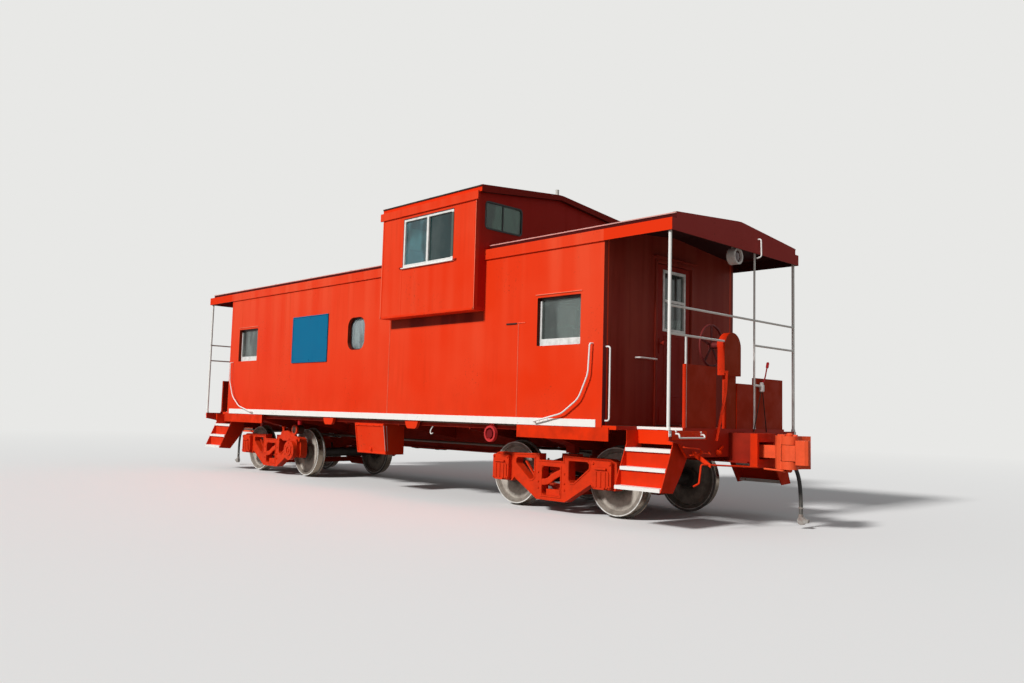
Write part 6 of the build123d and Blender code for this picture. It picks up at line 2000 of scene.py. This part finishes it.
@dataclass
class Coupler(EndAssembly):
    """Detail of one coupler: the knuckle pin's ends, ribs on top of the head and the lock lifter under it."""

    pin: Pair = (6.352, -0.128)
    head_top_z: float = 1.065
    head_foot_z: float = 0.695
    pin_head: Pairs = ((0.034, -0.004), (0.038, 0.006), (0.038, 0.018), (0.026, 0.03), (0.01, 0.034))
    pin_foot: Pairs = ((0.03, -0.004), (0.03, 0.02), (0.016, 0.034))
    # Ribs on the head: from, to, width
    ribs: tuple[tuple[Pair, Pair, float], ...] = (
        ((6.175, 0.02), (6.35, 0.055), 0.05),
        ((6.2, -0.085), (6.3, -0.12), 0.04))
    rib_rise: float = 0.006
    rib_height: float = 0.018
    lifter: Route = (
        (6.3, -0.1, 0.705), (6.31, -0.15, 0.668), (6.33, -0.22, 0.676),
        (6.33, -0.252, 0.684), (6.12, -0.272, 0.694))
    lifter_rod: float = 0.022

    def build(self) -> None:
        """Build the detail that swings with the coupler."""
        head = Shell()
        head.add(turned(self.pin_head, (*self.pin, self.head_top_z), UP, 20))
        head.add(turned(self.pin_foot, (*self.pin, self.head_foot_z), (0, 0, -1), 16))
        z = self.head_top_z + self.rib_rise
        for start, end, width in self.ribs:
            head.add(strip((*start, z), (*end, z), width, self.rib_height))
        head.add(bar(bent(self.lifter, 0.03), self.lifter_rod, 12))
        self.fit_end(head, "coupler_ribs", "coupler_iron", "coupler_iron", "coupler")


@dataclass
class CrewSeats(Assembly):
    """The four seats of the cupola: padded cushions on steel boxes."""

    middle_x: float = 1.594
    deck_z: float = 2.56
    seat_y: float = 0.96
    # Each is its place along from the middle and its height over the deck, its size, and for a pad its
    # lean in radians as well
    cushion_place: Pair = (0.4, 0.445)
    cushion_size: Point = (0.45, 0.46, 0.1)
    cushion_lean: float = -0.04
    back_place: Pair = (0.118, 0.69)
    back_size: Point = (0.09, 0.46, 0.41)
    back_lean: float = 0.06
    box_place: Pair = (0.24, 0.2)
    box_size: Point = (0.32, 0.42, 0.39)
    rim_place: Pair = (0.4, 0.39)
    rim_size: Point = (0.44, 0.44, 0.02)

    def pad(self, centre: Point, size: Point, lean: float) -> np.ndarray:
        """Give a crowned cushion: a rounded box whose thickness swells as (1-u^4)(1-v^4) towards its middle.

        Args:
            centre: middle of the cushion.
            size: its length, width and thickness.
            lean: its turn about y, in radians.

        Returns:
            A grid of rings from edge to edge.
        """
        u = np.sin(np.linspace(-np.pi / 2, np.pi / 2, 20))[:, None]
        a = np.linspace(0, 2 * np.pi, 40, endpoint=False)[None]
        v = np.sign(np.cos(a)) * np.abs(np.cos(a)) ** 0.4
        w = np.sign(np.sin(a)) * np.abs(np.sin(a)) ** 0.7
        pinch = np.sqrt(np.clip(1 - np.abs(u) ** 6, 0.0004, 1))
        x = u * size[0] / 2 * (1 - 0.03 * v ** 2)
        y = v * size[1] / 2 * pinch ** 0.4 * (1 - 0.03 * u ** 2)
        z = w * size[2] / 2 * pinch * (0.72 + 0.28 * (1 - u ** 4) * (1 - v ** 4))
        cos, sin = math.cos(lean), math.sin(lean)
        turn = np.array([[cos, 0, sin], [0, 1, 0], [-sin, 0, cos]])
        return np.stack(np.broadcast_arrays(x, y, z), -1) @ turn.T + np.array(centre)

    def build(self) -> None:
        """Build cushions and boxes facing each way on both sides of the aisle."""
        pads, boxes = Shell(), Shell()
        for facing in (-1, 1):
            for y in (-self.seat_y, self.seat_y):
                for (along, rise), size, lean in (
                        (self.cushion_place, self.cushion_size, self.cushion_lean),
                        (self.back_place, self.back_size, self.back_lean)):
                    centre = (self.middle_x + facing * along, y, self.deck_z + rise)
                    pads.add(self.pad(centre, size, facing * lean))
                for (along, rise), (length, width, height), squareness in (
                        (self.box_place, self.box_size, 0.12), (self.rim_place, self.rim_size, 0.25)):
                    x, z = self.middle_x + facing * along, self.deck_z + rise
                    boxes.add(strip((x, y - width / 2, z), (x, y + width / 2, z), length, height,
                                    squareness=squareness))
        seats = self.fit(pads, "seat_cushions", "seat_cover", "seat_cover", sharp=180.0)
        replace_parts(seats, "cupola_seats")
        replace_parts(self.fit(boxes, "seat_boxes", "frame_paint", "frame_paint"), "cupola_seats")


def corners(box: tuple[Vector, Vector]) -> list[list[float]]:
    """Give a box's two corners as plain lists."""
    return [list(map(float, corner)) for corner in box]


def main() -> None:
    """Build the scene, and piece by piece."""
    logging.basicConfig(level=logging.INFO, format="%(message)s")
    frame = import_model()
    bpy.context.scene.view_settings.view_transform = "Standard"
    Studio().build()
    shop = Paintshop(frame)
    ends = (("a", 1), ("b", -1))
    for end, side in ends:
        AirHose(shop, end, side).build()
    shop.dress_nodes()
    for assembly in (CarSides, Cupola, MainRoof, Underbody, DriveGear, CrewSeats):
        assembly(shop).build()
    for end, side in ends:
        for assembly in (Platform, Truck, Coupler):
            assembly(shop, end, side).build()


if __name__ == "__main__":
    main()
